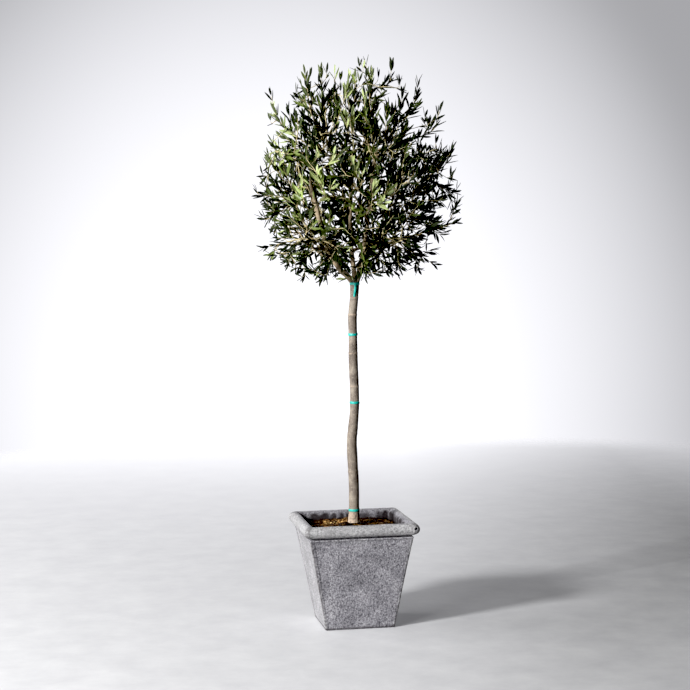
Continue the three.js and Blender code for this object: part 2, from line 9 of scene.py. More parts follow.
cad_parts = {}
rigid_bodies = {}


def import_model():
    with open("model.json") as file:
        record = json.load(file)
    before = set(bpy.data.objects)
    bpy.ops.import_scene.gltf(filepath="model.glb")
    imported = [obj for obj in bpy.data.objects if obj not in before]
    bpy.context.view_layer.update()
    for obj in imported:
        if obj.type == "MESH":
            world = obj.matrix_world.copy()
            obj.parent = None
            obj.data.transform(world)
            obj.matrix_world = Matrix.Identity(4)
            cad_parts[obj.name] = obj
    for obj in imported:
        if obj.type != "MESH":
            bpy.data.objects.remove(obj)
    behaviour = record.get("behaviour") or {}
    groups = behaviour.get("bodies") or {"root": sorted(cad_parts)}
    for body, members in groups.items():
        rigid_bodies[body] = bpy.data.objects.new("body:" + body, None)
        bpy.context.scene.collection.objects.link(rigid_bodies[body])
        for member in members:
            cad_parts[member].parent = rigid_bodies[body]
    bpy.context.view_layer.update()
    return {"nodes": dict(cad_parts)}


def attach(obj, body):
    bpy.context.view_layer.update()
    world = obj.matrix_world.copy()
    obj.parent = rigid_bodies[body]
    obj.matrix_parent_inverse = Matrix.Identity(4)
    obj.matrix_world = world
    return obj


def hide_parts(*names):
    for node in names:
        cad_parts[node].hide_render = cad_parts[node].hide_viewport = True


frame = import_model()
mm = 0.001
skyward = np.array([0.0, 0.0, 1.0])
print("frame loaded")


# Small tools for numbers, meshes and materials

# sRGB hex value to a linear colour
def linearColour(hexValue):
    channels = np.array([int(hexValue[i:i + 2], 16) for i in (1, 3, 5)]) / 255
    linear = np.where(channels <= 0.04045, channels / 12.92, ((channels + 0.055) / 1.055) ** 2.4)
    return (*linear.tolist(), 1.0)


# Adds one node, sets its settings and sockets, links its inputs, and gives a ramp its places and colours
def addNode(nodes, kind, values=None, links=None, stops=(), **settings):
    node = nodes.nodes.new("ShaderNode" + kind)
    for name, value in settings.items():
        setattr(node, name, value)
    for name, value in (values or {}).items():
        node.inputs[name].default_value = value
    for name, source in (links or {}).items():
        nodes.links.new(source, node.inputs[name])
    if stops:
        elements = node.color_ramp.elements
        while len(elements) < len(stops):
            elements.new(0.5)
        for element, (place, colour) in zip(elements, stops):
            element.position = place
            element.color = linearColour(colour)
    return node


# A new material with its nodes, its shader and the place in Object coordinates
def startMaterial(name, roughness, ior=1.5):
    material = bpy.data.materials.new(name)
    material.use_nodes = True
    nodes = material.node_tree
    shader = nodes.nodes["Principled BSDF"]
    shader.inputs["Roughness"].default_value = roughness
    shader.inputs["IOR"].default_value = ior
    return material, nodes, shader, addNode(nodes, "TexCoord").outputs["Object"]


# Length one along the last axis
def unit(vectors):
    return vectors / np.linalg.norm(vectors, axis=-1, keepdims=True)


# Smooth noise from -1 to 1: a scrambled value at each whole-number point of a lattice, and between them
# the eight nearest values weighted by 3t^2 - 2t^3 along each axis
def smoothNoise(points, seed):
    base = np.floor(points).astype(np.int64)
    part = points - base
    blend = part * part * (3 - 2 * part)
    total = np.zeros(points.shape[:-1])
    for corner in range(8):
        step = np.array([corner & 1, corner >> 1 & 1, corner >> 2 & 1])
        place = base + step
        code = place[..., 0] * 73856093 ^ place[..., 1] * 19349663 ^ place[..., 2] * 83492791
        code = (code ^ seed * 961748927) & 0x7FFFFFFF
        code = (code ^ code >> 13) * 1274126177 & 0x7FFFFFFF
        value = ((code ^ code >> 15) & 0xFFFF) / 32767.5 - 1
        total += value * np.prod(np.where(step, blend, 1 - blend), axis=-1)
    return total


# Lumps in layers, each with a depth and a size in millimetres, added to a total
def addLumps(total, points, layers, seed):
    for k, (depth, size) in enumerate(layers):
        total = total + depth * smoothNoise(points / np.array(size), seed + k)
    return total


# From 0 to 1 over a span that starts somewhere; a negative span runs downwards
def fadeIn(values, start, span):
    return np.clip((values - start) / span, 0, 1)


# 1 at a middle, and less with the distance, to 0 at a reach from it
def closeTo(values, middle, reach):
    return np.clip(1 - np.abs(values - middle) / reach, 0, 1)


# A mesh object from arrays: points in metres, four-cornered and three-cornered faces, a material slot for
# each face, and marks, which are named values at the points
def makePiece(name, points, quads, triangles, materials, slots=None, smooth=True, marks=None):
    quads = np.asarray(quads, dtype=np.int32).reshape(-1, 4)
    triangles = np.asarray(triangles, dtype=np.int32).reshape(-1, 3)
    corners = np.concatenate([quads.ravel(), triangles.ravel()])
    starts = np.concatenate([np.arange(len(quads)) * 4, quads.size + np.arange(len(triangles)) * 3])
    mesh = bpy.data.meshes.new(name)
    mesh.vertices.add(len(points))
    mesh.vertices.foreach_set("co", np.asarray(points, dtype=np.float32).ravel())
    mesh.loops.add(len(corners))
    mesh.loops.foreach_set("vertex_index", corners)
    mesh.polygons.add(len(starts))
    mesh.polygons.foreach_set("loop_start", starts.astype(np.int32))
    for material in materials:
        mesh.materials.append(material)
    if slots is not None:
        mesh.polygons.foreach_set("material_index", np.asarray(slots, dtype=np.int32))
    mesh.polygons.foreach_set("use_smooth", np.full(len(starts), smooth))
    mesh.update(calc_edges=True)
    mesh.validate()
    for markName, values in (marks or {}).items():
        mark = mesh.attributes.new(markName, "FLOAT", "POINT")
        mark.data.foreach_set("value", np.asarray(values, dtype=np.float32))
    piece = bpy.data.objects.new(name, mesh)
    bpy.context.scene.collection.objects.link(piece)
    return piece


# Faces of a closed band: rows of points round a shape, with row + 1 outside or further along
def bandFaces(rows, around):
    row = np.arange(rows - 1)[:, None] * around
    here = np.arange(around)[None, :]
    after = (here + 1) % around
    corners = [row + here, row + after, row + around + after, row + around + here]
    return np.stack(corners, axis=-1).reshape(-1, 4)


# A closed shape: rows of points round it, and a point in the middle of each end that a fan of faces meets
def closedRows(grid, ends):
    rows, around, _ = grid.shape
    here = np.arange(around)
    after = (here + 1) % around
    last = (rows - 1) * around
    firstFan = np.stack([np.full(around, rows * around), after, here], axis=-1)
    lastFan = np.stack([np.full(around, rows * around + 1), last + here, last + after], axis=-1)
    points = np.concatenate([grid.reshape(-1, 3), ends])
    return points, bandFaces(rows, around), np.concatenate([firstFan, lastFan])


# Tubes of equal row counts: a ring of points at every row of each path, radius times cosine along the path's
# normal plus radius times sine along its binormal, with a point in the middle of each end to close it
def tubes(paths, radii, sides):
    count, rows, _ = paths.shape
    ways = unit(np.gradient(paths, axis=1))
    mean = unit(paths[:, -1] - paths[:, 0] + 1e-9)
    aside = np.where(np.abs(mean[:, 2:3]) > 0.8, np.array([[1.0, 0, 0]]), skyward[None, :])
    normals = unit(np.cross(ways, np.cross(mean, aside)[:, None, :]))
    binormals = np.cross(ways, normals)
    angles = np.arange(sides) * 2 * math.pi / sides
    rings = (paths[:, :, None, :]
             + radii[:, :, None, None] * (np.cos(angles)[None, None, :, None] * normals[:, :, None, :]
                                          + np.sin(angles)[None, None, :, None] * binormals[:, :, None, :]))
    ends = np.stack([paths[:, 0], paths[:, -1]], axis=1)
    points = np.concatenate([rings.reshape(count, rows * sides, 3), ends], axis=1)
    _, band, fans = closedRows(rings[0], ends[0])
    shift = np.arange(count)[:, None, None] * (rows * sides + 2)
    return points.reshape(-1, 3), (band[None] + shift).reshape(-1, 4), (fans[None] + shift).reshape(-1, 3)


# The growing rule, in millimetres: the tree's own frame, front to -Y, turned to the planter at the end

tree = {
    "turn": -10,              # degrees against the planter's front
    "foot": 368,              # height of the trunk's cut
    "seed": 20,
    "outerTips": 94,          # shoots that end at the crown's surface
    "innerTips": 40,          # and at a share of the way to it
    "innerDepth": 0.62,
    "limbReach": 0.6,         # share of the way to its mass's middle that a side bough goes
    "limbTip": 3.6,           # radius at the end of a side bough
    "leaderTip": 2.8,         # and at the end of the twig that carries it on
    "twigRadii": (2.6, 2),    # at the foot and the end of every other twig
    "joint": 80,              # length of a straight stretch of twig
    "station": 0.07,          # share of a twig's length between the places where others may leave it
    "stationGap": 9,          # least distance between two that leave it
    "nearest": 40,            # least distance from such a place to a shoot's foot
    "leaf": 122,              # length of a spray
    "shootLeaf": 84,          # length of a spray on the long shoots
    "width": 44,              # width of a spray
    "thick": 2.4,
    "spacing": (62, 46),      # between sprays, here and below on a twig and on a long shoot
    "spread": (44, 28),       # degrees from the twig
    "slack": (16, 400),       # how far a spray may stand out of the crown
    "touch": 0.3,             # between a bough's tip and the stem that carries it on
}
crownMiddle = np.array([15.0, 0, 1590])
crownShape = np.array([
    [1262, 120, 90], [1290, 225, 235], [1350, 285, 300], [1450, 290, 350], [1540, 310, 372], [1640, 300, 356],
    [1750, 272, 345], [1850, 262, 305], [1930, 232, 250], [2000, 165, 205], [2045, 60, 90],
])                            # height, reach to the left, reach to the right
trunkShape = np.array([
    [368, 2, 46], [380, 3, 40], [430, 5, 37], [520, 5, 37], [667, 0, 37], [720, 4.5, 36], [785, 11, 33],
    [870, 12, 33], [960, 9, 33], [1050, 9, 31], [1130, 8, 33], [1196, 14.5, 31], [1252, 17.5, 33],
    [1268, 17.5, 27],
])                            # height, sideways place, width
mainBoughs = {
    "left": (10.5, 5, [[17, 0, 1250], [-8, -4, 1278], [-38, -12, 1306], [-85, -24, 1400], [-115, -34, 1520],
                       [-136, -34, 1620], [-120, -30, 1705]]),
    "right": (10, 5, [[20, 0, 1248], [36, -2, 1290], [46, -6, 1345], [62, -12, 1440], [80, -24, 1570],
                      [96, -36, 1705]]),
    "back": (9, 5, [[17, 3, 1248], [16, 22, 1292], [10, 52, 1350], [4, 74, 1460], [10, 84, 1590],
                    [16, 92, 1700]]),
}                             # radius at the fork, radius at the tip, points
masses = {
    "lower_front_left": ([-185, -190, 1405], "left", 0.3),
    "lower_front_right": ([220, -190, 1410], "right", 0.25),
    "lower_back_right": ([210, 195, 1400], "back", 0.28),
    "lower_back_left": ([-180, 190, 1412], "left", 0.2),
    "middle_front": ([15, -150, 1590], "right", 0.5),
    "middle_right": ([180, 5, 1600], "right", 0.64),
    "middle_back": ([10, 160, 1590], "back", 0.52),
    "middle_left": ([-150, 15, 1600], "left", 0.5),
    "top_left": ([-65, -25, 1765], "left", None),
    "top_right": ([80, -45, 1775], "right", None),
    "top_back": ([20, 65, 1765], "back", None),
}                             # middle, parent bough, where the side bough leaves it
longShoots = np.array([
    [-281, -20, 1966], [-154, -60, 2036], [-98, 40, 2048], [-46, -70, 2036], [30, 60, 2030], [88, -90, 2026],
    [164, -10, 2068], [262, 30, 2008], [338, -30, 1902], [392, 30, 1770], [412, -60, 1478], [-338, -40, 1380],
    [330, -50, 1302], [60, -330, 1930], [40, 330, 1950],
], dtype=float)               # tips of the shoots that stand out of the rest
massCentres = np.array([entry[0] for entry in masses.values()], dtype=float)


# Repeatable numbers from 0 to 1: a counter scrambled by shifts and 32-bit products
def numbersFrom(start):
    state = start
    low32 = 0xFFFFFFFF

    def nextNumber():
        nonlocal state
        state = (state + 0x6D2B79F5) & low32
        value = (state ^ state >> 15) * (1 | state) & low32
        value = (value + ((value ^ value >> 7) * (61 | value) & low32) & low32) ^ value
        return ((value ^ value >> 14) & low32) / 4294967296

    return nextNumber


# A path from a function of t: 201 samples give the length up to each, so that a share of the length finds
# its t
def makePath(evaluate):
    steps = np.linspace(0, 1, 201)
    samples = evaluate(steps)
    lengths = np.concatenate([[0], np.cumsum(np.linalg.norm(np.diff(samples, axis=0), axis=1))])
    return {"evaluate": evaluate, "steps": steps, "lengths": lengths, "length": lengths[-1]}


def pathPoints(path, along):
    share = np.interp(np.atleast_1d(along) * path["length"], path["lengths"], path["steps"])
    return path["evaluate"](share)


def pathWay(path, along):
    share = np.interp(along * path["length"], path["lengths"], path["steps"])
    ends = path["evaluate"](np.array([max(share - 1e-4, 0), min(share + 1e-4, 1)]))
    return unit(ends[1] - ends[0])


# Cubic Bezier: the four points weighted by (1-t)^3, 3(1-t)^2 t, 3(1-t) t^2 and t^3
def bezier(start, first, second, end):
    def evaluate(t):
        t = t[:, None]
        back = 1 - t
        return back ** 3 * start + 3 * back ** 2 * t * first + 3 * back * t * t * second + t ** 3 * end
    return makePath(evaluate)


# Centripetal spline through points: each stretch is a cubic whose end slopes weigh the neighbouring
# chords by the root of their length
def spline(points):
    points = np.asarray(points, dtype=float)
    padded = np.concatenate([[2 * points[0] - points[1]], points, [2 * points[-1] - points[-2]]])
    spans = np.sqrt(np.linalg.norm(np.diff(padded, axis=0), axis=1))[:, None]
    before, here, after, beyond = padded[:-3], padded[1:-2], padded[2:-1], padded[3:]
    d0, d1, d2 = spans[:-2], spans[1:-1], spans[2:]
    slope1 = ((here - before) / d0 - (after - before) / (d0 + d1) + (after - here) / d1) * d1
    slope2 = ((after - here) / d1 - (beyond - here) / (d1 + d2) + (beyond - after) / d2) * d1

    def evaluate(t):
        place = np.clip(t, 0, 1) * (len(points) - 1)
        k = np.minimum(place.astype(int), len(points) - 2)
        w = (place - k)[:, None]
        rise = -3 * here[k] + 3 * after[k] - 2 * slope1[k] - slope2[k]
        turn = 2 * here[k] - 2 * after[k] + slope1[k] + slope2[k]
        return here[k] + slope1[k] * w + rise * w ** 2 + turn * w ** 3
    return makePath(evaluate)


trunkPath = spline([[x, 0, height] for height, x, _ in trunkShape])
trunkLine = pathPoints(trunkPath, np.linspace(0, 1, 400))


def trunkMiddle(height):
    return np.interp(height, trunkLine[:, 2], trunkLine[:, 0])


def trunkRadius(height):
    return np.interp(height, trunkShape[:, 0], trunkShape[:, 2]) / 2


# Limbs: main boughs from the fork, then a side bough towards each lower mass
limbs = {}
for boughName, (base, tip, points) in mainBoughs.items():
    limbs[boughName] = {"path": spline(points), "base": base, "tip": tip}
for massName, (centre, parentName, along) in masses.items():
    if along is None:
        continue
    parent = limbs[parentName]
    start = pathPoints(parent["path"], along)[0]
    end = start + (np.array(centre) - start) * tree["limbReach"]
    reach = np.linalg.norm(end - start)
    outward = unit(end - start)
    leave = unit(outward + 0.35 * pathWay(parent["path"], along))
    arrive = end - outward * reach * 0.3 - skyward * reach * 0.06
    base = (parent["base"] + (parent["tip"] - parent["base"]) * along) * 0.75
    path = bezier(start, start + leave * reach * 0.4, arrive, end)
    limbs[massName] = {"path": path, "base": base, "tip": tree["limbTip"]}

limbPoints = [pathPoints(limb["path"], np.linspace(0, 1, 61)) for limb in limbs.values()]
limbRadii = [np.linspace(limb["base"], limb["tip"], 61) for limb in limbs.values()]
trunkTop = pathPoints(trunkPath, np.linspace(0.9, 1, 31))
limbPoints = np.concatenate(limbPoints + [trunkTop])
limbRadii = np.concatenate(limbRadii + [trunkRadius(trunkTop[:, 2])])


# How far the crown reaches from its middle line at a height, towards an angle round it
def crownReach(height, angle):
    left = np.interp(height, crownShape[:, 0], crownShape[:, 1])
    right = np.interp(height, crownShape[:, 0], crownShape[:, 2])
    reach = (left + right) / 2 + (right - left) / 2 * np.cos(angle)
    return np.where((height > crownShape[0, 0]) & (height < crownShape[-1, 0]), reach, 0)


def insideCrown(points, slack):
    height = np.clip(points[..., 2], crownShape[0, 0] + 1, crownShape[-1, 0] - 1)
    near = np.abs(height - points[..., 2]) <= slack
    across = np.hypot(points[..., 0], points[..., 1])
    return near & (across < crownReach(height, np.arctan2(points[..., 1], points[..., 0])) + slack)


def crownSurface(direction):
    near, far = 0.0, 900.0
    for _ in range(24):
        half = (near + far) / 2
        if insideCrown(crownMiddle + direction * half, 0):
            near = half
        else:
            far = half
    return near


# Shoots point outwards, upright in the upper crown and drooping at its lower edge
def growthAt(point):
    out = unit(np.array([point[0] - crownMiddle[0], point[1], (point[2] - 1400) * 0.6]))
    height = min(max((point[2] - 1290) / 610, 0), 1.1)
    return unit(out + skyward * (3 * height ** 1.2 - 0.5))


# Points that are nearer to their mass's middle than to any other's, by a margin
def insideShare(mass, points, margin):
    others = np.delete(massCentres, mass, axis=0)
    across = unit(massCentres[mass] - others)
    middles = (massCentres[mass] + others) / 2
    return np.all(points @ across.T - np.sum(middles * across, axis=1) >= margin, axis=-1)


def clearOfLimbs(points, radius):
    far = np.linalg.norm(points[:, None, :] - limbPoints[None], axis=-1)
    return np.all(far > limbRadii + np.reshape(radius, (-1, 1)) + 2.5, axis=-1)


# A twig: a Bezier that leaves its parent and ends with the crown's growth, straight from joint to joint
def makeTwig(start, leave, end, arrive, base, tip, before):
    reach = np.linalg.norm(end - start)
    path = bezier(start, start + leave * reach * 0.35, end - arrive * reach * 0.35, end)
    steps = max(2, int(path["length"] / tree["joint"] + 0.5))
    joints = pathPoints(path, np.linspace(0, 1, steps + 1))
    return {"path": path, "length": path["length"], "steps": steps, "joints": joints, "base": base,
            "tip": tip, "before": before, "taken": [], "long": False}


def onTwig(twig, along):
    along = np.asarray(along, dtype=float)
    step = np.minimum(twig["steps"] - 1, np.floor(along * twig["steps"]).astype(int))
    low, high = twig["joints"][step], twig["joints"][step + 1]
    part = (along * twig["steps"] - step)[..., None]
    return low + (high - low) * part, unit(high - low)


def twigFits(mass, twig):
    checks = math.ceil(twig["length"] / 8)
    points, _ = onTwig(twig, np.arange(checks + 1) / checks)
    if not insideShare(mass, points, twig["base"] + 1).all():
        return False
    return twig["before"] == 0 or clearOfLimbs(points, twig["base"]).all()


nextNumber = numbersFrom(tree["seed"])
shootTips = []
for count, depth in ((tree["outerTips"], 1), (tree["innerTips"], tree["innerDepth"])):
    for k in range(count):
        rise = 1 - 2 * (k + 0.5) / count
        angle = math.pi * (3 - math.sqrt(5)) * k + nextNumber()
        flat = math.sqrt(1 - rise * rise)
        direction = np.array([flat * math.cos(angle), flat * math.sin(angle), rise])
        distance = crownSurface(direction) * (depth + 0.1 * (nextNumber() - 0.6))
        shootTips.append((crownMiddle + direction * distance, tree["leaf"], False))
for place in longShoots:
    shootTips.append((place, tree["shootLeaf"], True))


# Twigs of one mass: each shoot's tip is joined to the nearest fitting station of the twigs before it
def growTwigs(mass):
    massName, (_, parentName, sideAlong) = list(masses.items())[mass]
    limb = limbs[parentName if sideAlong is None else massName]
    way = pathWay(limb["path"], 1)
    start = pathPoints(limb["path"], 1)[0] + way * tree["touch"]
    own = []
    for tipEnd, leaf, isLong in shootTips:
        if not insideShare(mass, tipEnd, 4):
            continue
        natural, outward = growthAt(tipEnd), unit(tipEnd - massCentres[mass])
        for share in (0, 0.35, 0.7, 1):
            tipWay = unit(natural + (outward - natural) * share)
            twigEnd = tipEnd - tipWay * leaf * 0.92
            if insideShare(mass, twigEnd, 6) and clearOfLimbs(twigEnd[None], 3).all():
                break
        own.append({"end": twigEnd, "way": tipWay, "leaf": leaf, "long": isLong})
    own.sort(key=lambda tip: np.linalg.norm(tip["end"] - start))
    heart = start + (massCentres[mass] - start) * 0.75 + way * 20
    twigs = [makeTwig(start, way, heart, growthAt(heart), tree["limbTip"], tree["leaderTip"], 0)]
    for tip in own:
        joins = []
        for parent in twigs:
            along = 0.25
            while along < 0.94:
                point, parentWay = onTwig(parent, along)
                far = np.linalg.norm(tip["end"] - point)
                gaps = [abs(used - along) * parent["length"] for used in parent["taken"]]
                if far >= tree["nearest"] and all(one >= tree["stationGap"] for one in gaps):
                    before = parent["before"] + parent["length"] * along
                    turn = (tip["end"] - point) @ parentWay / far
                    cost = far * (1.35 - 0.35 * turn) + 0.4 * before
                    joins.append((cost, point, parent, along, parentWay, before))
                along += tree["station"]
        joins.sort(key=lambda join: join[0])
        for _, point, parent, along, parentWay, before in joins[:40]:
            leave = unit(unit(tip["end"] - point) + parentWay * 0.5)
            twig = makeTwig(point, leave, tip["end"], tip["way"], *tree["twigRadii"], before)
            if twigFits(mass, twig):
                twig.update(leaf=tip["leaf"], long=tip["long"], way=tip["way"])
                twigs.append(twig)
                parent["taken"].append(along)
                break
    return twigs


# A vector turned round a unit axis
def turned(vector, axis, angle):
    return (vector * math.cos(angle) + np.cross(axis, vector) * math.sin(angle)
            + axis * (axis @ vector) * (1 - math.cos(angle)))


# A spray fits where it keeps to its mass and the crown, clear of the limbs and of the sprays beside it
def sprayFits(mass, root, way, face, length, slack, others):
    side = unit(np.cross(way, face))
    width = tree["width"] * length / tree["leaf"]
    widest = root + way * length * 0.45
    corners = np.array([root + way * length, widest + side * width / 2, widest - side * width / 2])
    if not insideShare(mass, corners, tree["thick"] / 2 + 0.8).all() or not insideCrown(corners, slack).all():
        return False
    along = np.arange(1, 11) / 10
    half = tree["width"] / 2 * np.minimum(along / 0.45, (1 - along) / 0.55) + 1.5
    if not clearOfLimbs(root + way * (length * along)[:, None], half).all():
        return False
    if not others:
        return True
    low, span = root + way * length * 0.2, way * length * 0.8
    points = np.concatenate([entry["marks"] for entry in others])
    share = np.clip((points - low) @ span / (span @ span), 0, 1)
    return np.all(np.linalg.norm(points - low - share[:, None] * span, axis=1) >= 14)


# Sprays of one mass: one at each twig's end and pairs back along it, turned or shortened until they fit
def growSprays(mass, twigs):
    sprays = []

    def tryPlace(twig, root, way, face, length, slack, isEnd):
        if not sprayFits(mass, root, way, face, length, slack, sprays):
            return False
        marks = root + way * (length * np.arange(1, 6) / 5)[:, None]
        sprays.append({"twig": twig, "root": root, "way": way, "face": face, "length": length,
                       "marks": marks, "isEnd": isEnd})
        return True

    for twig in sorted(twigs[1:], key=lambda entry: not entry["long"]):
        spacing, spread, slack = [tree[name][twig["long"]] for name in ("spacing", "spread", "slack")]
        spread = math.radians(spread)
        endRoot = onTwig(twig, 1)[0] - twig["way"] * 0.9
        upright = np.cross(np.cross(twig["way"], skyward), twig["way"])
        for scale, roll in [(scale, roll) for scale in (1, 0.8, 0.6) for roll in (0, 1, -1)]:
            face = turned(upright, twig["way"], roll)
            if tryPlace(twig, endRoot, twig["way"], face, twig["leaf"] * scale, slack, True):
                break
        turn = nextNumber() * math.pi
        back = 24
        while back < twig["length"] - 20:
            for half in (0, math.pi):
                point, way = onTwig(twig, 1 - (back + half * 3) / twig["length"])
                angle = spread + 0.25 * (nextNumber() - 0.5)
                size = twig["leaf"] * (0.85 + 0.25 * nextNumber())
                tilt = 0.3 + 0.5 * nextNumber()
                tries = [(twist, scale) for scale in (1, 0.85, 0.7, 0.55)
                         for twist in (0, 0.6, -0.6, 1.2, -1.2)]
                for twist, scale in tries:
                    side = turned(unit(np.cross(way, skyward)), way, turn + half + twist)
                    sprayWay = way * math.cos(angle * scale) + side * math.sin(angle * scale)
                    face = skyward + way * tilt
                    root = point - sprayWay * 0.9
                    if tryPlace(twig, root, unit(sprayWay), face, size * scale, slack, False):
                        break
            turn += math.pi / 2
            back += spacing
    return sprays


allTwigs, allSprays = [], []
for mass in range(len(masses)):
    twigs = growTwigs(mass)
    sprays = growSprays(mass, twigs)
    allTwigs.extend(twigs)
    allSprays.extend(sprays)
print("grown:", len(allTwigs), "twigs and", len(allSprays), "sprays")


# The tree's frame in millimetres to the planter's in metres
def placed(points):
    turn = math.radians(tree["turn"])
    flat = np.array([[math.cos(turn), math.sin(turn), 0], [-math.sin(turn), math.cos(turn), 0], [0, 0, 1]])
    return points @ flat * mm


# Bark

# Young olive bark: thin, smooth and matt, grey-beige with fine upright grain, paler flecks, and pale scars
# where the skin is marked. Grain about 2 mm wide and 20 mm long, patches 30 mm, flecks 2 mm.
def barkMaterial(name, patchTones):
    material, nodes, shader, place = startMaterial(name, 0.78)
    stretched = addNode(nodes, "Mapping", {"Scale": (1, 1, 0.1)}, {"Vector": place})
    grain = addNode(nodes, "TexNoise", {"Scale": 420, "Detail": 4, "Roughness": 0.6},
                    {"Vector": stretched.outputs[0]})
    patches = addNode(nodes, "TexNoise", {"Scale": 34, "Detail": 3, "Roughness": 0.55}, {"Vector": place})
    flecks = addNode(nodes, "TexVoronoi", {"Scale": 260, "Randomness": 1}, {"Vector": place})
    patchColour = addNode(nodes, "ValToRGB", None, {0: patches.outputs["Fac"]},
                          stops=list(zip((0.3, 0.5, 0.7), patchTones)))
    grainColour = addNode(nodes, "ValToRGB", None, {0: grain.outputs["Fac"]},
                          stops=[(0.35, "#8a7f72"), (0.65, "#d2c8b8")])
    fleckMask = addNode(nodes, "ValToRGB", None, {0: flecks.outputs["Distance"]},
                        stops=[(0.1, "#ffffff"), (0.25, "#000000")])
    mixed = addNode(nodes, "Mix", {0: 0.55}, {6: patchColour.outputs[0], 7: grainColour.outputs[0]},
                    data_type="RGBA", blend_type="MULTIPLY")
    brighter = addNode(nodes, "Mix", {7: linearColour("#b9ae9c")},
                       {0: fleckMask.outputs[0], 6: mixed.outputs[2]}, data_type="RGBA")
    scar = addNode(nodes, "Attribute", attribute_name="scar", attribute_type="GEOMETRY")
    scarred = addNode(nodes, "Mix", {7: linearColour("#c3ad97")},
                      {0: scar.outputs["Fac"], 6: brighter.outputs[2]}, data_type="RGBA")
    nodes.links.new(scarred.outputs[2], shader.inputs["Base Color"])
    bump = addNode(nodes, "Bump", {"Strength": 0.5, "Distance": 0.0006}, {"Height": grain.outputs["Fac"]})
    nodes.links.new(bump.outputs[0], shader.inputs["Normal"])
    return material


bark = {
    "around": 56,
    "rowStep": 2.2,           # mm between rows of points
    "below": 6,               # mm that the trunk goes on under its cut
    # depth and size of the lumps and of two layers of upright grain, mm
    "lumps": ((0.55, (16, 16, 45)), (0.22, (2.6, 2.6, 16)), (0.12, (1.6, 1.6, 5))),
    # height of each node, and how pale its ring is
    "rings": ((875, 0.3), (996, 0.35), (1137, 0.45), (1199, 0.25), (700, 0.1), (560, 0.1)),
    "swelling": 0.9,          # mm out at a node
    "hollow": 0.5,            # mm in above it
    "roughBelow": 430,        # the bark is rough and flaky under this height
    "plates": 0.9,            # mm, height of the flaky plates and of the crumbs on them
    "crumbs": 0.5,
    "knot": (0.0, 1144, 5, 1.3),      # angle from the front, height, reach and mm out of a healed side shoot
}
boughs = {
    "around": 22,
    "rowStep": 2.6,
    "swelling": (0.3, 16),    # share of the radius where a bough leaves its parent, and how far it goes, mm
    "lumps": (0.4, 11),       # depth and size, mm
    "grain": (0.16, 3),
}
trunkSkin = barkMaterial("olive_bark", ("#605851", "#7c736b", "#938c82"))
boughSkin = barkMaterial("olive_bough_bark", ("#80725f", "#a3937a", "#b8ab90"))


# Trunk: level rings round the trunk's middle line. The radius is half the width at that height, plus broad
# lumps, fine upright grain, a swelling at each node and flaky ridges near the foot. It also gives how pale
# each point is.
def trunkMesh():
    low, high = tree["foot"] - bark["below"], trunkShape[-1, 0]
    rows = int((high - low) / bark["rowStep"])
    heights = np.linspace(low, high, rows)
    angle, height = np.meshgrid(np.arange(bark["around"]) * 2 * math.pi / bark["around"], heights)
    circle = np.stack([np.cos(angle), np.sin(angle)], axis=-1)
    radius = np.repeat(trunkRadius(np.maximum(heights, tree["foot"]))[:, None], bark["around"], axis=1)
    skin = np.concatenate([circle * radius[..., None], height[..., None]], axis=-1)
    radius = addLumps(radius, skin, bark["lumps"], 1)
    scars = np.zeros_like(radius)
    for k, (node, pale) in enumerate(bark["rings"]):
        ring = 0.75 + 0.5 * smoothNoise(skin / np.array([9, 9, 1e6]), 10 + k)
        lift = height - node - 1.5 * smoothNoise(skin / np.array([12, 12, 1e6]), 20 + k)
        radius += bark["swelling"] * ring * np.exp(-(lift / 4.5) ** 2)
        radius -= bark["hollow"] * np.exp(-((lift - 9) / 5) ** 2)
        scars += pale * np.clip(ring, 0, 1) * np.exp(-(lift / 2.4) ** 2)
    rough = fadeIn(height, bark["roughBelow"], -35)
    plates = 1 - np.abs(smoothNoise(skin / np.array([6, 6, 9]), 4)) * 2
    crumbs = smoothNoise(skin / np.array([2.2, 2.2, 3]), 5)
    radius += rough * (bark["plates"] * plates + bark["crumbs"] * crumbs)
    scars = np.clip(scars + rough * np.clip(0.35 + 0.5 * plates, 0, 1) * 0.7, 0, 1)
    knotAngle, knotHeight, knotReach, knotOut = bark["knot"]
    front = np.angle(np.exp(1j * (angle + math.pi / 2 - knotAngle)))
    radius += knotOut * np.exp(-((front * 17 / knotReach) ** 2 + ((height - knotHeight) / knotReach) ** 2))
    points = np.concatenate([circle * radius[..., None], height[..., None]], axis=-1)
    middle = trunkMiddle(heights)
    points[..., 0] += middle[:, None]
    ends = np.array([[middle[0], 0, low], [middle[-1], 0, high + 2]])
    return closedRows(points, ends), np.append(scars, [0, 0])


(points, quads, triangles), scars = trunkMesh()
trunkPiece = makePiece("trunk_bark", placed(points), quads, triangles, [trunkSkin], marks={"scar": scars})
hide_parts("trunk")
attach(trunkPiece, "root")


# Bough: a tube along a limb, swollen where it leaves its parent, with the bark's lumps and grain
def boughMesh(limb, seed):
    length, around = limb["path"]["length"], boughs["around"]
    along = np.linspace(0, 1, int(length / boughs["rowStep"]))
    path = pathPoints(limb["path"], along)
    swelling, swellingReach = boughs["swelling"]
    radii = limb["base"] + (limb["tip"] - limb["base"]) * along
    radii = radii * (1 + swelling * np.exp(-along * length / swellingReach))
    points, quads, triangles = tubes(path[None], radii[None], around)
    out = points - np.concatenate([np.repeat(path, around, axis=0), path[[0, -1]]])
    reach = np.linalg.norm(out, axis=1, keepdims=True)
    relief = addLumps(0, points, [boughs["lumps"]], 30 + seed)
    relief = addLumps(relief, points, [boughs["grain"]], 50 + seed)
    points = points + np.where(reach > 0.01, out / np.maximum(reach, 0.01) * relief[:, None], 0)
    return points, quads, triangles


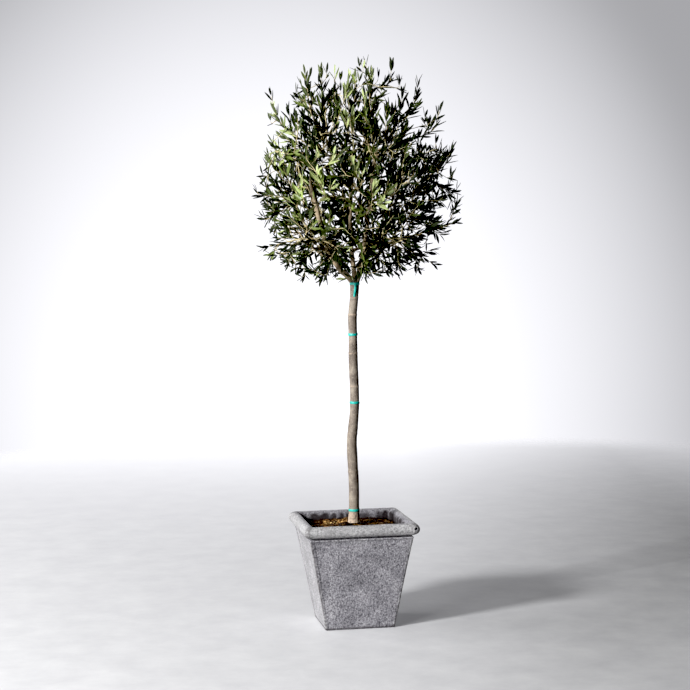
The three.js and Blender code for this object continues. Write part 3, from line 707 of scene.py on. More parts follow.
# Joins parts that each have points, four-cornered faces and three-cornered faces
def joinedParts(parts):
    shift = np.cumsum([0] + [len(part[0]) for part in parts[:-1]])
    points = np.concatenate([part[0] for part in parts])
    quads = np.concatenate([part[1].reshape(-1, 4) + s for part, s in zip(parts, shift)])
    triangles = np.concatenate([part[2].reshape(-1, 3) + s for part, s in zip(parts, shift)])
    return points, quads, triangles


points, quads, triangles = joinedParts([boughMesh(limb, k) for k, limb in enumerate(limbs.values())])
boughPiece = makePiece("bough_bark", placed(points), quads, triangles, [boughSkin])
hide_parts(*[name for name in frame["nodes"] if name.startswith("bough_")])
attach(boughPiece, "root")
print("bark made")


# Twigs and leaves

growth = {
    "seed": 7,
    "leafLength": (38, 55),   # mm
    "leafWidth": (9.9, 13.5),
    "leafAngle": (22, 46),    # degrees from the shoot
    "scatter": 0.35,          # how far a leaf is turned at random
    "node": 17,               # mm between pairs of leaves
    "twigNode": 20,           # the same on the thicker twigs
    "endLeaf": 38,            # mm from the end of a shoot's stem to its tip
    "thin": 0.75,             # radius of the finest shoots' tips
    "leafy": (70, 125),       # mm of a fine shoot that carries leaves
    "fine": [(1.02, 290), (0.86, 150), (0.7, 105), (0.5, 50)],   # share of the crown's reach, shoots
    "fineSpread": (-0.09, 0.06),       # how far a fine shoot may be from that share
    "choices": 5,             # places tried for each fine shoot, of which the least crowded is used
    "full": (1335, 1790),     # mm, heights between which all the fine shoots grow
    "thinShare": 0.28,        # and the share of them that grows above and below
    "wide": 1.06,             # how much further the fine shoots reach to the sides than the rule's crown
    "deepest": (-312, 320),   # mm, how far they reach to the front and the back
    # drooping shoots along the lower edge, and shoots that close the space between the middle and the top:
    # how many, their heights, the square of the share of the crown's reach, and how much wider they go
    "fringe": {"shoots": 34, "heights": (1278, 1385), "reach": (0.35, 1.1), "wide": 1.26},
    "waist": {"shoots": 36, "heights": (1655, 1780), "reach": (0.08, 0.95)},
    # tables by height: the higher, the closer leaves stand to the shoot, and the larger and further apart
    "angles": ((1350, 1850), (1.1, 0.6)),
    "sizes": ((1600, 1850), (1.0, 1.2)),
    "toneSteps": (0.84, 0.98, 1.12),   # share of the crown's reach where dark, olive and sage shoots start
    "toneSpread": 0.22,
    "freshShare": 0.09,       # of the shoots outside
    # painted light and shade: how much lighter the leaves are by sideways place and by height, darker on the
    # right and low down where shade falls
    "paintedLightBySide": ((-320, -130, 80, 190, 330), (-0.12, 0.03, 0.06, -0.42, -0.55)),
    "paintedLightByHeight": ((1290, 1500), (-0.26, 0.0)),
    "eye": (7014, 1524),      # mm, distance and height of the camera
    # lines of sight that stay open: sideways place, height and radius in mm at the trunk
    "open": [(-175, 1527, 13), (-157, 1476, 15), (-80, 1512, 9), (-110, 1421, 8), (267, 1392, 13),
             (300, 1381, 11), (256, 1512, 9), (208, 1560, 7), (321, 1749, 11), (350, 1676, 11),
             (194, 1469, 7), (20, 1290, 9)],
    # the same, but open only as far as the bough that shows there
    "bare": [(-110, 1500, 12), (-116, 1530, 12), (-124, 1560, 13), (-131, 1590, 13), (-136, 1620, 12)],
    "bareDepth": -30,         # mm, in front of this
}
rng = np.random.default_rng(growth["seed"])


# Olive shoot bark: fine, grey-green to beige in patches of 45 mm, with grain of 1 mm
def twigMaterial():
    material, nodes, shader, place = startMaterial("shoot_bark", 0.7)
    patches = addNode(nodes, "TexNoise", {"Scale": 22, "Detail": 3}, {"Vector": place})
    colour = addNode(nodes, "ValToRGB", None, {0: patches.outputs["Fac"]},
                     stops=[(0.3, "#8a7858"), (0.5, "#a89a74"), (0.7, "#bdb68c")])
    nodes.links.new(colour.outputs[0], shader.inputs["Base Color"])
    grain = addNode(nodes, "TexNoise", {"Scale": 900, "Detail": 2}, {"Vector": place})
    bump = addNode(nodes, "Bump", {"Strength": 0.4, "Distance": 0.0003}, {"Height": grain.outputs["Fac"]})
    nodes.links.new(bump.outputs[0], shader.inputs["Normal"])
    return material


# Olive leaf: leathery, with a waxy upper side that catches the light, a paler felted underside, and veins
# 2 mm apart
def leafMaterial(name, colour, roughness, gloss):
    material, nodes, shader, place = startMaterial(name, roughness, 1.42)
    shader.inputs["Base Color"].default_value = linearColour(colour)
    shader.inputs["Specular IOR Level"].default_value = gloss
    veins = addNode(nodes, "TexNoise", {"Scale": 500, "Detail": 2}, {"Vector": place})
    bump = addNode(nodes, "Bump", {"Strength": 0.25, "Distance": 0.0003}, {"Height": veins.outputs["Fac"]})
    nodes.links.new(bump.outputs[0], shader.inputs["Normal"])
    return material


# name, colour, roughness and gloss: four tones from the inside out, dealt to paint shade deep in the crown
# and light outside, fresh growth, and the two undersides, one a darker copy as painted shade
leafLooks = [
    ("leaf_deep", "#1c2215", 0.5, 0.1),
    ("leaf_dark", "#363f22", 0.5, 0.15),
    ("leaf_olive", "#586433", 0.45, 0.3),
    ("leaf_sage", "#8f9a66", 0.45, 0.4),
    ("leaf_fresh", "#7c8b4a", 0.42, 0.4),
    ("leaf_underside", "#575f41", 0.8, 0.1),
    ("leaf_underside_painted_shade", "#2a2f22", 0.8, 0.1),
]
freshTone, underside, undersidePaintedShade = 4, 5, 6
leafTones = [leafMaterial(*look) for look in leafLooks]
twigBark = twigMaterial()

leafList = []                 # root, way, upper face, length, width, tone
crowdGrid = {"sides": 6, "squares": 60, "size": 20, "low": 1150}    # mm
crowd = np.zeros((crowdGrid["sides"], crowdGrid["squares"], crowdGrid["squares"]))    # leaves in each square


# The squares that a point falls in, seen from each side: sideways place and height
def crowdPlace(point):
    sides, squares, size = crowdGrid["sides"], crowdGrid["squares"], crowdGrid["size"]
    turns = np.arange(sides) * math.pi / sides
    across = (point[0] * np.cos(turns) + point[1] * np.sin(turns)) / size + squares / 2
    level = min(max(int((point[2] - crowdGrid["low"]) / size), 0), squares - 1)
    return np.arange(sides), np.clip(across, 0, squares - 1).astype(int), np.full(sides, level)


# True where a line of sight past this point stays open. A place is carried to the trunk's plane along the
# line from the eye: x and the height over the eye shrink by distance / (distance + depth).
def inOpening(point):
    distance, eye = growth["eye"]
    shrink = distance / (distance + point[1])
    across, height = point[0] * shrink, eye + (point[2] - eye) * shrink
    lines = growth["open"] + (growth["bare"] if point[1] < growth["bareDepth"] else [])
    return any((across - x) ** 2 + (height - z) ** 2 < r * r for x, z, r in lines)


# Leaf pairs along a shoot: a pair every node, each turned a quarter round from the last, leaning out from
# the shoot and facing its tip, the sky and out of the crown. The youngest are shorter and stand closer.
def leafPairs(path, leafy, tone, node, angleScale=1.0, lengthScale=1.0):
    length, scatter = path["length"], growth["scatter"]
    spots = length - np.arange(max(1, int(leafy / node))) * node
    spots = spots[spots > 6] / length
    turn = rng.uniform(0, math.pi)
    for k, along in enumerate(spots):
        point = pathPoints(path, along)[0]
        way = pathWay(path, float(along))
        side = unit(np.cross(way, skyward) + 1e-6)
        outward = unit(point - crownMiddle)
        young = min(1.0, (k + 0.6) / 2.6)
        for half in (0, math.pi):
            out = turned(side, way, turn + half + rng.uniform(-scatter, scatter))
            angle = math.radians(rng.uniform(*growth["leafAngle"])) * angleScale * (0.55 + 0.45 * young)
            leafWay = unit(way * math.cos(angle) + out * math.sin(angle))
            face = way * 0.35 + skyward * 0.3 + outward * 0.75 + rng.normal(0, scatter, 3)
            size = rng.uniform(*growth["leafLength"]) * (0.6 + 0.4 * young) * lengthScale
            width = rng.uniform(*growth["leafWidth"]) * (0.6 + 0.4 * young) * (0.5 + 0.5 * lengthScale)
            if not inOpening(point + leafWay * size / 2):
                leafList.append((point, leafWay, face, size, width, tone))
                crowd[crowdPlace(point + leafWay * size / 2)] += 1
        turn += math.pi / 2


# A value from one of the tables by height
def byHeight(name, height):
    return float(np.interp(height, *growth[name]))


# Tone of a shoot's leaves: painted light and shade, mostly sage outside, deep inside, low down and on the
# right where shade falls, with a wide random spread everywhere
def shootTone(point):
    away = point - crownMiddle
    far = np.linalg.norm(away)
    depth = far / max(60.0, crownSurface(away / far))
    # painted light and shade: lighter further out, to the left and higher up, darker inside, on the right and
    # low down
    place = np.interp(point[0], *growth["paintedLightBySide"]) + byHeight("paintedLightByHeight", point[2])
    light = min(depth, 1.0) + place + rng.normal(0, growth["toneSpread"])
    if light > 0.9 and rng.random() < growth["freshShare"]:
        return freshTone
    return int(np.digitize(light, growth["toneSteps"]))


twigPaths, twigRadii = {}, {}     # by the rows of points on each path


def addTwigPath(path, base, tip, rows):
    along = np.linspace(0, 1, rows)
    twigPaths.setdefault(rows, []).append(pathPoints(path, along))
    twigRadii.setdefault(rows, []).append(base + (tip - base) * along)


for twig in allTwigs:
    addTwigPath(twig["path"], twig["base"], twig["tip"] * 0.7, 12)
    if "way" in twig:
        leafy, angleScale = (0.8, 0.7) if twig["long"] else (0.6, 1.0)
        leafPairs(twig["path"], twig["length"] * leafy, shootTone(twig["joints"][-1]), growth["twigNode"],
                  angleScale)

# Each of the rule's sprays becomes a short shoot with pairs of leaves, or one leaf along a long shoot
for spray in allSprays:
    root, way, length = spray["root"], spray["way"], spray["length"]
    if spray["twig"]["long"] and not spray["isEnd"]:
        leafList.append((root, way, spray["face"], length * 0.72, 13.0, shootTone(root)))
        continue
    stem = length - growth["endLeaf"]
    natural = growthAt(root + way * length)
    end = root + unit(way + 0.25 * natural) * stem
    path = bezier(root, root + way * stem * 0.35, end - unit(way + 0.6 * natural) * stem * 0.35, end)
    addTwigPath(path, 1.3, growth["thin"], 6)
    size = byHeight("sizes", root[2])
    leafPairs(path, stem, shootTone(root + way * length), growth["node"] * size,
              byHeight("angles", root[2]), size)

# Fine shoots: more tips over the crown's surface and inside it, each joined to the nearest twig in a curve
# that leaves along the twig and ends with the crown's growth. They fill the least crowded places first.
stations, stationWays = [], []
for path in [twig["path"] for twig in allTwigs] + [limb["path"] for limb in limbs.values()]:
    marks = pathPoints(path, np.linspace(0.1, 1, 16))
    stations.append(marks)
    stationWays.append(unit(np.gradient(marks, axis=0)))
stations, stationWays = np.concatenate(stations), np.concatenate(stationWays)


def crowding(tip, way):
    seen = sum(crowd[crowdPlace(tip - way * back)] for back in (5, 40, 75))
    return seen.sum() + 2 * seen[0] + 40 * inOpening(tip - way * 20)


def growShoot(tip, way):
    global stations, stationWays
    end = tip - way * growth["endLeaf"]
    offset = end - stations
    far = np.linalg.norm(offset, axis=1)
    turn = np.sum(offset * stationWays, axis=1) / far
    best = np.argmin(np.where(far < 45, 1e6, far * (1.5 - 0.5 * turn)))
    start, leave = stations[best], unit(unit(offset[best]) + stationWays[best] * 0.6)
    reach = far[best]
    path = bezier(start, start + leave * reach * 0.35, end - way * reach * 0.35, end)
    addTwigPath(path, 1.0 + reach / 160, growth["thin"], 8)
    size = byHeight("sizes", tip[2])
    leafPairs(path, min(path["length"] * 0.9, rng.uniform(*growth["leafy"])), shootTone(tip),
              growth["node"] * size ** 2, byHeight("angles", tip[2]), size)
    marks = pathPoints(path, np.linspace(0.3, 1, 6))
    stations = np.concatenate([stations, marks])
    stationWays = np.concatenate([stationWays, unit(np.gradient(marks, axis=0))])


fineCount = 0
for share, count in growth["fine"]:
    for k in range(count):
        choices = []
        for direction in unit(rng.normal(0, 1, (growth["choices"], 3))):
            depth = share + rng.uniform(*growth["fineSpread"])
            tip = crownMiddle + direction * crownSurface(direction) * depth
            tip[0] += (tip[0] - crownMiddle[0]) * (growth["wide"] - 1)
            tip[1] = np.clip(tip[1], *growth["deepest"])
            rise = skyward * np.interp(tip[2], (1350, 1500), (0, 0.55))
            choices.append((tip, unit(growthAt(tip) + rise + rng.normal(0, 0.2, 3))))
        tip, way = min(choices, key=lambda choice: crowding(*choice))
        if growth["full"][0] < tip[2] < growth["full"][1] or rng.random() < growth["thinShare"]:
            growShoot(tip, way)
            fineCount += 1
fringe, waist = growth["fringe"], growth["waist"]
for k in range(fringe["shoots"]):
    angle, height = rng.uniform(0, 2 * math.pi), rng.uniform(*fringe["heights"])
    out = np.array([math.cos(angle) * fringe["wide"], math.sin(angle), 0.0])
    tip = out * float(crownReach(height, angle)) * math.sqrt(rng.uniform(*fringe["reach"])) + skyward * height
    growShoot(tip, unit(out - skyward * rng.uniform(0.1, 1.1) + rng.normal(0, 0.2, 3)))
for k in range(waist["shoots"]):
    angle, height = rng.uniform(0, 2 * math.pi), rng.uniform(*waist["heights"])
    reach = float(crownReach(height, angle))
    tip = np.array([math.cos(angle), math.sin(angle), 0.0]) * reach + skyward * height
    tip[:2] *= math.sqrt(rng.uniform(*waist["reach"]))
    growShoot(tip, unit(growthAt(tip) + rng.normal(0, 0.2, 3)))
print("fine shoots:", fineCount + fringe["shoots"] + waist["shoots"])

parts = []
for rows, paths in twigPaths.items():
    parts.append(tubes(np.array(paths), np.array(twigRadii[rows]), 6 if rows > 6 else 5))
points, quads, triangles = joinedParts(parts)
twigPiece = makePiece("twigs", placed(points), quads, triangles, [twigBark])
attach(twigPiece, "root")
print("twigs made:", len(quads) * 2 + len(triangles), "triangles;", len(leafList), "leaves")


# Leaves: narrow blades, widest before their middle. At share u of the length the half width is that of a
# table, the midrib is sunk in a shallow fold, and the whole curls down with u squared.
leafShape = {
    "along": np.array([0.06, 0.22, 0.48, 0.75, 0.92]),
    "half": np.array([0.12, 0.64, 1.0, 0.74, 0.3]),
    "fold": 0.34,
    "thick": 0.35,            # mm from the middle surface to either side
    "curl": (0.05, 0.07),     # share of the length that the tip curls down: middle and spread
    "sway": 0.03,             # spread of the same sideways
}


def leafMesh(leaves):
    roots, ways, faces, lengths, widths, tones = [np.array(column) for column in zip(*leaves)]
    ways = unit(ways)
    sides = unit(np.cross(faces, ways))
    normals = np.cross(ways, sides)
    lengths, widths = lengths[:, None], widths[:, None]
    curls = rng.normal(*leafShape["curl"], (len(leaves), 1))
    sways = rng.normal(0, leafShape["sway"], (len(leaves), 1))
    h = leafShape["half"] * 0.5
    stations = len(h)
    zero = np.zeros(stations)
    across = np.stack([h, zero, -h, zero], axis=1).ravel()
    sunk = np.stack([zero, -h * leafShape["fold"], zero, -h * leafShape["fold"]], axis=1).ravel()
    skin = np.stack([zero, zero + 1, zero, zero - 1], axis=1).ravel() * leafShape["thick"]
    share = np.concatenate([[0], np.repeat(leafShape["along"], 4), [1]])
    across, sunk, skin = [np.concatenate([[0], row, [0]]) for row in (across, sunk, skin)]
    x = share * lengths
    y = across * widths + sways * lengths * share ** 2
    z = sunk * widths + skin - curls * lengths * share ** 2
    points = (roots[:, None, :] + x[..., None] * ways[:, None, :] + y[..., None] * sides[:, None, :]
              + z[..., None] * normals[:, None, :])
    quads = []
    for first in range(1, 4 * (stations - 1), 4):
        left, top, right, under = range(first, first + 4)
        quads += [[top, top + 4, left + 4, left], [right, right + 4, top + 4, top],
                  [left, left + 4, under + 4, under], [under, under + 4, right + 4, right]]
    left, top, right, under = range(4 * stations - 3, 4 * stations + 1)
    end = 4 * stations + 1
    triangles = [[0, 2, 1], [0, 3, 2], [0, 1, 4], [0, 4, 3],
                 [top, end, left], [right, end, top], [left, end, under], [under, end, right]]
    upper = np.array([True, True, False, False])
    shift = np.arange(len(leaves))[:, None, None] * (end + 1)
    allQuads = (np.array(quads)[None] + shift).reshape(-1, 4)
    allTriangles = (np.array(triangles)[None] + shift).reshape(-1, 3)
    # painted shade: the deep and dark shoots get the darkened copy of the underside
    under = np.where(tones < 2, undersidePaintedShade, underside)[:, None]
    quadSlots = np.where(np.tile(upper, stations - 1)[None, :], tones[:, None], under).ravel()
    triangleSlots = np.where(np.tile(upper, 2)[None, :], tones[:, None], under).ravel()
    return points.reshape(-1, 3), allQuads, allTriangles, np.concatenate([quadSlots, triangleSlots])


foliageNodes = {"lower": [], "middle": [], "top": []}
for name in frame["nodes"]:
    if name.startswith("foliage_"):
        foliageNodes[name.split("_")[1]].append(name)
levels = {"lower": (0, 1480), "middle": (1480, 1710), "top": (1710, 9000)}
for level, (low, high) in levels.items():
    for side, sign in (("left", -1), ("right", 1)):
        chosen = [leaf for leaf in leafList
                  if low <= leaf[0][2] < high and (leaf[0][0] > crownMiddle[0]) == (sign > 0)]
        points, quads, triangles, slots = leafMesh(chosen)
        piece = makePiece("leaves_" + level + "_" + side, placed(points), quads, triangles, leafTones, slots,
                          smooth=False)
        if side == "left":
            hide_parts(*foliageNodes[level])
        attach(piece, "root")
        print("leaves", level, side, len(chosen), "leaves", len(quads) * 2 + len(triangles), "triangles")


# Planter and soil

soil = {
    "ball": 160,              # mm, half width of the root ball
    "top": 365,               # its height, and that of the crevice round it
    "fill": 318,
    "under": 290,             # height of the underside
    "dome": (11.0, 52),       # height and reach of the rise round the trunk
    "lumps": ((1.92, 17), (1.04, 6), (0.48, 2.5)),        # depth and size
    "seed": 3,
    "chips": 2000,
    "chipLength": (3, 12),
    "chipThick": (0.8, 2.4),
    "dry": (-62, 66, 62),     # middle and reach of the patch with the most dry chips
    "fibres": 120,
    "fibreReach": (5, 16),    # half the length
    "fibreRadius": 0.45,
}
pot = {
    "rim": 420, "height": 390, "roll": 21, "base": 255, "bodyTop": 376, "bodyTopHeight": 335, "wall": 19,
    "floor": 22, "corner": 4,
    "bow": 0.8,               # mm, how far the faces lie in halfway up
    "panel": 0.7,             # mm, how far the faces lie back inside their plain border
    "lumps": ((0.55, 46), (0.2, 13), (0.1, 5)),    # depth and size, mm
    # the ledge under the roll: out and up from the body's top edge
    "ledge": [[0.7, 0.6], [1.2, 1.6], [1.2, 4.2], [0.4, 5.4], [-2.4, 6.8], [-3.2, 8.5]],
    "hole": (194, 372, 5.4, 22),   # a small blind hole in the front roll: sideways, height, radius, depth
    # how far each place is made pale, from 0 to 1: rubbed along the edges, the ledge and the roll, and
    # painted light on the left face, which faces the lamp
    "rubbedAndLit": {"edges": 0.3, "ledge": 0.5, "roll": 0.33, "left": 0.19},
    # how far each place is made dark: painted shade in the cove over the ledge and at the foot of the faces,
    # stains on the roll's inside (least and streaks), its clouds and corners, and darker lines at the border
    # and corners of the faces
    "stainedAndShaded": {"cove": 0.4, "inside": (0.12, 0.8), "clouds": 0.12, "rollCorners": 0.45, "border": 0.62,
                "corners": 0.75, "foot": 0.75},
}


# Fibre clay: a cast mix of clay, stone dust and fibre, matt and chalky, mottled violet grey with fine pits,
# rubbed paler along its edges, painted paler with light on its left face, stained darker inside, painted
# darker with shade under the roll and at its foot, with darker lines at its borders and corners. Clouds 80
# mm, blotches 7 mm, grit 2.5 mm.
def fibreClayMaterial():
    material, nodes, shader, place = startMaterial("fibre_clay", 0.85)
    shader.inputs["Specular IOR Level"].default_value = 0.3
    # size of the noise, detail, roughness, the share that darkens the colour below, and the colours
    layers = {
        "clouds": (13, 5, 0.6, None, [(0.3, "#838286"), (0.5, "#969599"), (0.7, "#abaaad")]),
        "blotches": (150, 4, 0.7, 1.0, [(0.36, "#878589"), (0.5, "#dad9dc"), (0.61, "#ffffff")]),
        "grit": (400, 2, 0.7, 0.8, [(0.3, "#b4b2b5"), (0.6, "#ffffff")]),
    }
    noises, colours = {}, {}
    for name, (scale, detail, roughness, share, stops) in layers.items():
        noises[name] = addNode(nodes, "TexNoise", {"Scale": scale, "Detail": detail, "Roughness": roughness},
                               {"Vector": place}).outputs["Fac"]
        colours[name] = addNode(nodes, "ValToRGB", None, {0: noises[name]}, stops=stops).outputs[0]
        if share is None:
            mixed = colours[name]
        else:
            mixed = addNode(nodes, "Mix", {0: share}, {6: mixed, 7: colours[name]}, data_type="RGBA",
                            blend_type="MULTIPLY").outputs[2]
    # pale colour for rubbed places and for the painted light on the left face
    rubbedAndLit = addNode(nodes, "Mix", {0: 0.55, 6: linearColour("#c8c8c4")}, {7: colours["blotches"]},
                     data_type="RGBA", blend_type="MULTIPLY")
    wearAndLight = addNode(nodes, "Attribute", attribute_name="wearAndLight", attribute_type="GEOMETRY")
    wornAndLit = addNode(nodes, "Mix", None, {0: wearAndLight.outputs["Fac"], 6: mixed, 7: rubbedAndLit.outputs[2]},
                   data_type="RGBA")
    stainAndShade = addNode(nodes, "Attribute", attribute_name="stainAndShade", attribute_type="GEOMETRY")
    # one dark colour for the stains and for the painted shade
    stainedAndShaded = addNode(nodes, "Mix", {7: linearColour("#1f191a")},
                      {0: stainAndShade.outputs["Fac"], 6: wornAndLit.outputs[2]}, data_type="RGBA")
    nodes.links.new(stainedAndShaded.outputs[2], shader.inputs["Base Color"])
    pits = addNode(nodes, "TexVoronoi", {"Scale": 160, "Randomness": 1}, {"Vector": place})
    relief = addNode(nodes, "Math", None, {0: noises["blotches"], 1: pits.outputs["Distance"]},
                     operation="ADD")
    bump = addNode(nodes, "Bump", {"Strength": 0.9, "Distance": 0.0018}, {"Height": relief.outputs[0]})
    nodes.links.new(bump.outputs[0], shader.inputs["Normal"])
    return material


# Square ring with rounded corners: (half - radius) times a point of the unit square plus radius times a
# direction, which is the side's normal on the straights and sweeps a quarter turn at each corner
def squareRing():
    edge = np.array([0.925, 0.94, 0.952, 0.97, 0.985, 1.0])
    straight = np.concatenate([-edge[::-1], np.linspace(-0.9, 0.9, 41), edge])
    sweep = np.linspace(0, math.pi / 2, 9)[1:-1]
    square = np.concatenate([np.stack([straight, np.ones_like(straight)], axis=1),
                             np.ones((len(sweep), 2))])
    direction = np.concatenate([np.tile([0.0, 1.0], (len(straight), 1)),
                                np.stack([np.sin(sweep), np.cos(sweep)], axis=1)])
    squares, directions = [], []
    for quarter in range(4):
        turn = -quarter * math.pi / 2
        flat = np.array([[math.cos(turn), math.sin(turn)], [-math.sin(turn), math.cos(turn)]])
        squares.append(square @ flat)
        directions.append(direction @ flat)
    return np.concatenate(squares)[::-1], np.concatenate(directions)[::-1]


# The planter's profile in stretches, each of points with a distance from the middle and a height: under the
# base, up the outside, over the ledge, round the roll, down the inside and across the floor
def potProfile():
    top, roll = pot["bodyTopHeight"], pot["roll"]
    baseHalf, topHalf = pot["base"] / 2, pot["bodyTop"] / 2
    innerTop = topHalf - pot["wall"]
    innerLow = baseHalf + (topHalf - baseHalf) * pot["floor"] / top - pot["wall"]
    bodyFoot, bodyTop = np.array([baseHalf, 3.0]), np.array([topHalf, top])
    wallTop, wallFoot = np.array([innerTop, top]), np.array([innerLow, pot["floor"]])
    up = np.linspace(0, 1, 42)[:, None]
    body = bodyFoot + up * (bodyTop - bodyFoot)
    body[:, 0] -= np.sin(up[:, 0] * math.pi) * pot["bow"]
    angles = np.radians(np.linspace(-108, 178, 34))
    return {
        "under": np.array([[60, 0.0], [baseHalf - 14, 0.0], [baseHalf - 4, 0.0], [baseHalf - 2.6, 0.25],
                           [baseHalf - 0.9, 1.2]]),
        "body": body,
        "ledge": bodyTop + np.array(pot["ledge"]),
        "roll": np.stack([pot["rim"] / 2 - roll + roll * np.cos(angles),
                          pot["height"] - roll + roll * np.sin(angles)], axis=1),
        "inside": wallTop + np.array([[0.6, 12], [0, 0]]),
        "wall": wallTop + np.linspace(0, 1, 8)[1:, None] * (wallFoot - wallTop),
        "floor": np.array([[innerLow - 4, pot["floor"]], [30.0, pot["floor"]]]),
    }


# Planter: square rings at every row of the profile, pushed in and out by broad and fine lumps. It also gives
# how rubbed or painted light and how stained or painted with shade each point is.
def potMesh():
    stretches = potProfile()
    profile = np.concatenate(list(stretches.values()))
    part = np.repeat(list(stretches), [len(rows) for rows in stretches.values()])[:, None]
    isBody, isRoll, isInside = part == "body", part == "roll", np.isin(part, ("inside", "wall", "floor"))
    x, height = profile[:, :1], profile[:, 1:]
    top, roll = pot["bodyTopHeight"], pot["roll"]
    middle, middleHeight = pot["rim"] / 2 - roll, pot["height"] - roll
    square, direction = squareRing()
    onRoll = isRoll & (x > pot["bodyTop"] / 2 - pot["wall"])
    radius = np.where(onRoll, np.clip(x - middle + 12, 3, 20) * 0.7, np.minimum(pot["corner"], x * 0.4))
    flat = (x - radius)[..., None] * square[None] + radius[..., None] * direction[None]
    points = np.concatenate([flat, np.repeat(height[..., None], len(square), axis=1)], axis=-1)
    slope = np.gradient(profile, axis=0)
    outward = unit(np.stack([slope[:, 1], -slope[:, 0]], axis=1))
    normals = np.concatenate([outward[:, None, :1] * direction[None],
                              np.repeat(outward[:, None, 1:], len(square), axis=1)], axis=-1)
    normals = normals / np.maximum(np.linalg.norm(normals, axis=-1, keepdims=True), 1e-6)
    side = np.abs(square).min(axis=1)[None]       # 1 at a face's edges
    panel = fadeIn(side, 0.952, -0.012) * fadeIn(height, 7, 3)
    lumps = addLumps(0, points, pot["lumps"], 70) * fadeIn(points[..., 2], 2, 8)
    points = points + normals * (lumps - pot["panel"] * panel * isBody)[..., None]

    rubbedAndLit, stainedAndShaded = pot["rubbedAndLit"], pot["stainedAndShaded"]
    rub = np.clip(addLumps(0.45, points, ((0.8, 9), (0.4, 3.5)), 73), 0, 1)
    edges = fadeIn(side, 0.965, 0.035) * isBody * rubbedAndLit["edges"]
    edges = edges + closeTo(height - top, 3, 3) * rubbedAndLit["ledge"]
    outside = onRoll * np.clip((x - middle) / roll + 0.4, 0, 1) * rubbedAndLit["roll"]
    wearAndLight = np.clip(edges * rub + outside, 0, 0.8)
    # painted light: the whole left face, which faces the lamp, is painted paler
    wearAndLight = np.maximum(wearAndLight, isBody * np.clip(-direction[None, :, 0], 0, 1) * rubbedAndLit["left"])

    pastTop = isRoll & (height > middleHeight) & (x < middle - 1)
    rollInside = pastTop * fadeIn(height, pot["height"] - 1.5, -8)
    # darker towards the soil: fully so up to 8 mm above its top, fading out by 17 mm
    nearSoil = fadeIn(height, soil["top"] + 17, -9)
    streaks = 0.25 + 1.2 * smoothNoise(points / np.array([14, 14, 30]), 75) + 0.8 * nearSoil
    least, most = stainedAndShaded["inside"]
    clouds = np.clip(smoothNoise(points / 12, 76), 0, 1)
    border = np.clip(closeTo(side, 0.948, 0.012) + closeTo(height, 8, 3), 0, 1)
    # painted shade: the cove under the roll is darkened where its shade falls; the inside under the soil is
    # stained dark
    stainAndShade = isInside + closeTo(height - top, 10, 5) * ~isInside * stainedAndShaded["cove"]
    stainAndShade = stainAndShade + rollInside * (least + most * np.clip(streaks, 0, 1))
    stainAndShade = stainAndShade + onRoll * (stainedAndShaded["clouds"] * clouds + stainedAndShaded["rollCorners"] * fadeIn(side, 0.98, 0.02))
    # painted shade at the foot of the faces, where they meet the floor, and darker lines along the faces'
    # border and corners
    stainAndShade = stainAndShade + isBody * (stainedAndShaded["border"] * border + stainedAndShaded["foot"] * fadeIn(height, 6, -3)
                              + fadeIn(side, 0.98, 0.015) * (stainedAndShaded["corners"] - 0.5 * rub))
    ends = np.array([[0, 0, 0.0], [0, 0, pot["floor"]]])
    return closedRows(points, ends), {"wearAndLight": np.append(wearAndLight, [0, 0]),
                                      "stainAndShade": np.append(np.clip(stainAndShade, 0, 1), [0, 0.9])}


fibreClay = fibreClayMaterial()
(points, quads, triangles), marks = potMesh()
potPiece = makePiece("planter", points * mm, quads, triangles, [fibreClay], marks=marks)

# the small hole is cut with a rod, and the cut mesh kept
holeX, holeHeight, holeRadius, holeDepth = pot["hole"]
holeFront = -pot["rim"] / 2 - 4
holeLine = np.array([[holeX, holeFront + t, holeHeight] for t in (0, 8, 4 + holeDepth)], dtype=float)
points, quads, triangles = tubes(holeLine[None], np.full((1, 3), holeRadius), 20)
cutter = makePiece("hole_rod", points * mm, quads, triangles, [fibreClay])
cut = potPiece.modifiers.new("hole", "BOOLEAN")
cut.operation, cut.solver, cut.object = "DIFFERENCE", "EXACT", cutter
cutMesh = bpy.data.meshes.new_from_object(potPiece.evaluated_get(bpy.context.evaluated_depsgraph_get()))
potPiece.modifiers.clear()
potPiece.data = cutMesh
bpy.data.objects.remove(cutter)
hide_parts("pot")
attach(potPiece, "root")
print("planter made:", sum(len(face.vertices) - 2 for face in cutMesh.polygons), "triangles")


# Soil

# Potting mix: damp composted bark and coconut fibre, dark brown with paler dry bits, in crumbs of 4 mm
def mixMaterial(name, dark, light, roughness):
    material, nodes, shader, place = startMaterial(name, roughness)
    shader.inputs["Specular IOR Level"].default_value = 0.12
    crumbs = addNode(nodes, "TexNoise", {"Scale": 260, "Detail": 4, "Roughness": 0.7}, {"Vector": place})
    colour = addNode(nodes, "ValToRGB", None, {0: crumbs.outputs["Fac"]}, stops=[(0.35, dark), (0.65, light)])
    nodes.links.new(colour.outputs[0], shader.inputs["Base Color"])
    bump = addNode(nodes, "Bump", {"Strength": 0.8, "Distance": 0.0012}, {"Height": crumbs.outputs["Fac"]})
    nodes.links.new(bump.outputs[0], shader.inputs["Normal"])
    return material


# Half the width of the square with round corners that a place lies on: (|x|^4 + |y|^4)^(1/4)
def squareReach(x, y):
    return (x ** 4 + y ** 4) ** 0.25


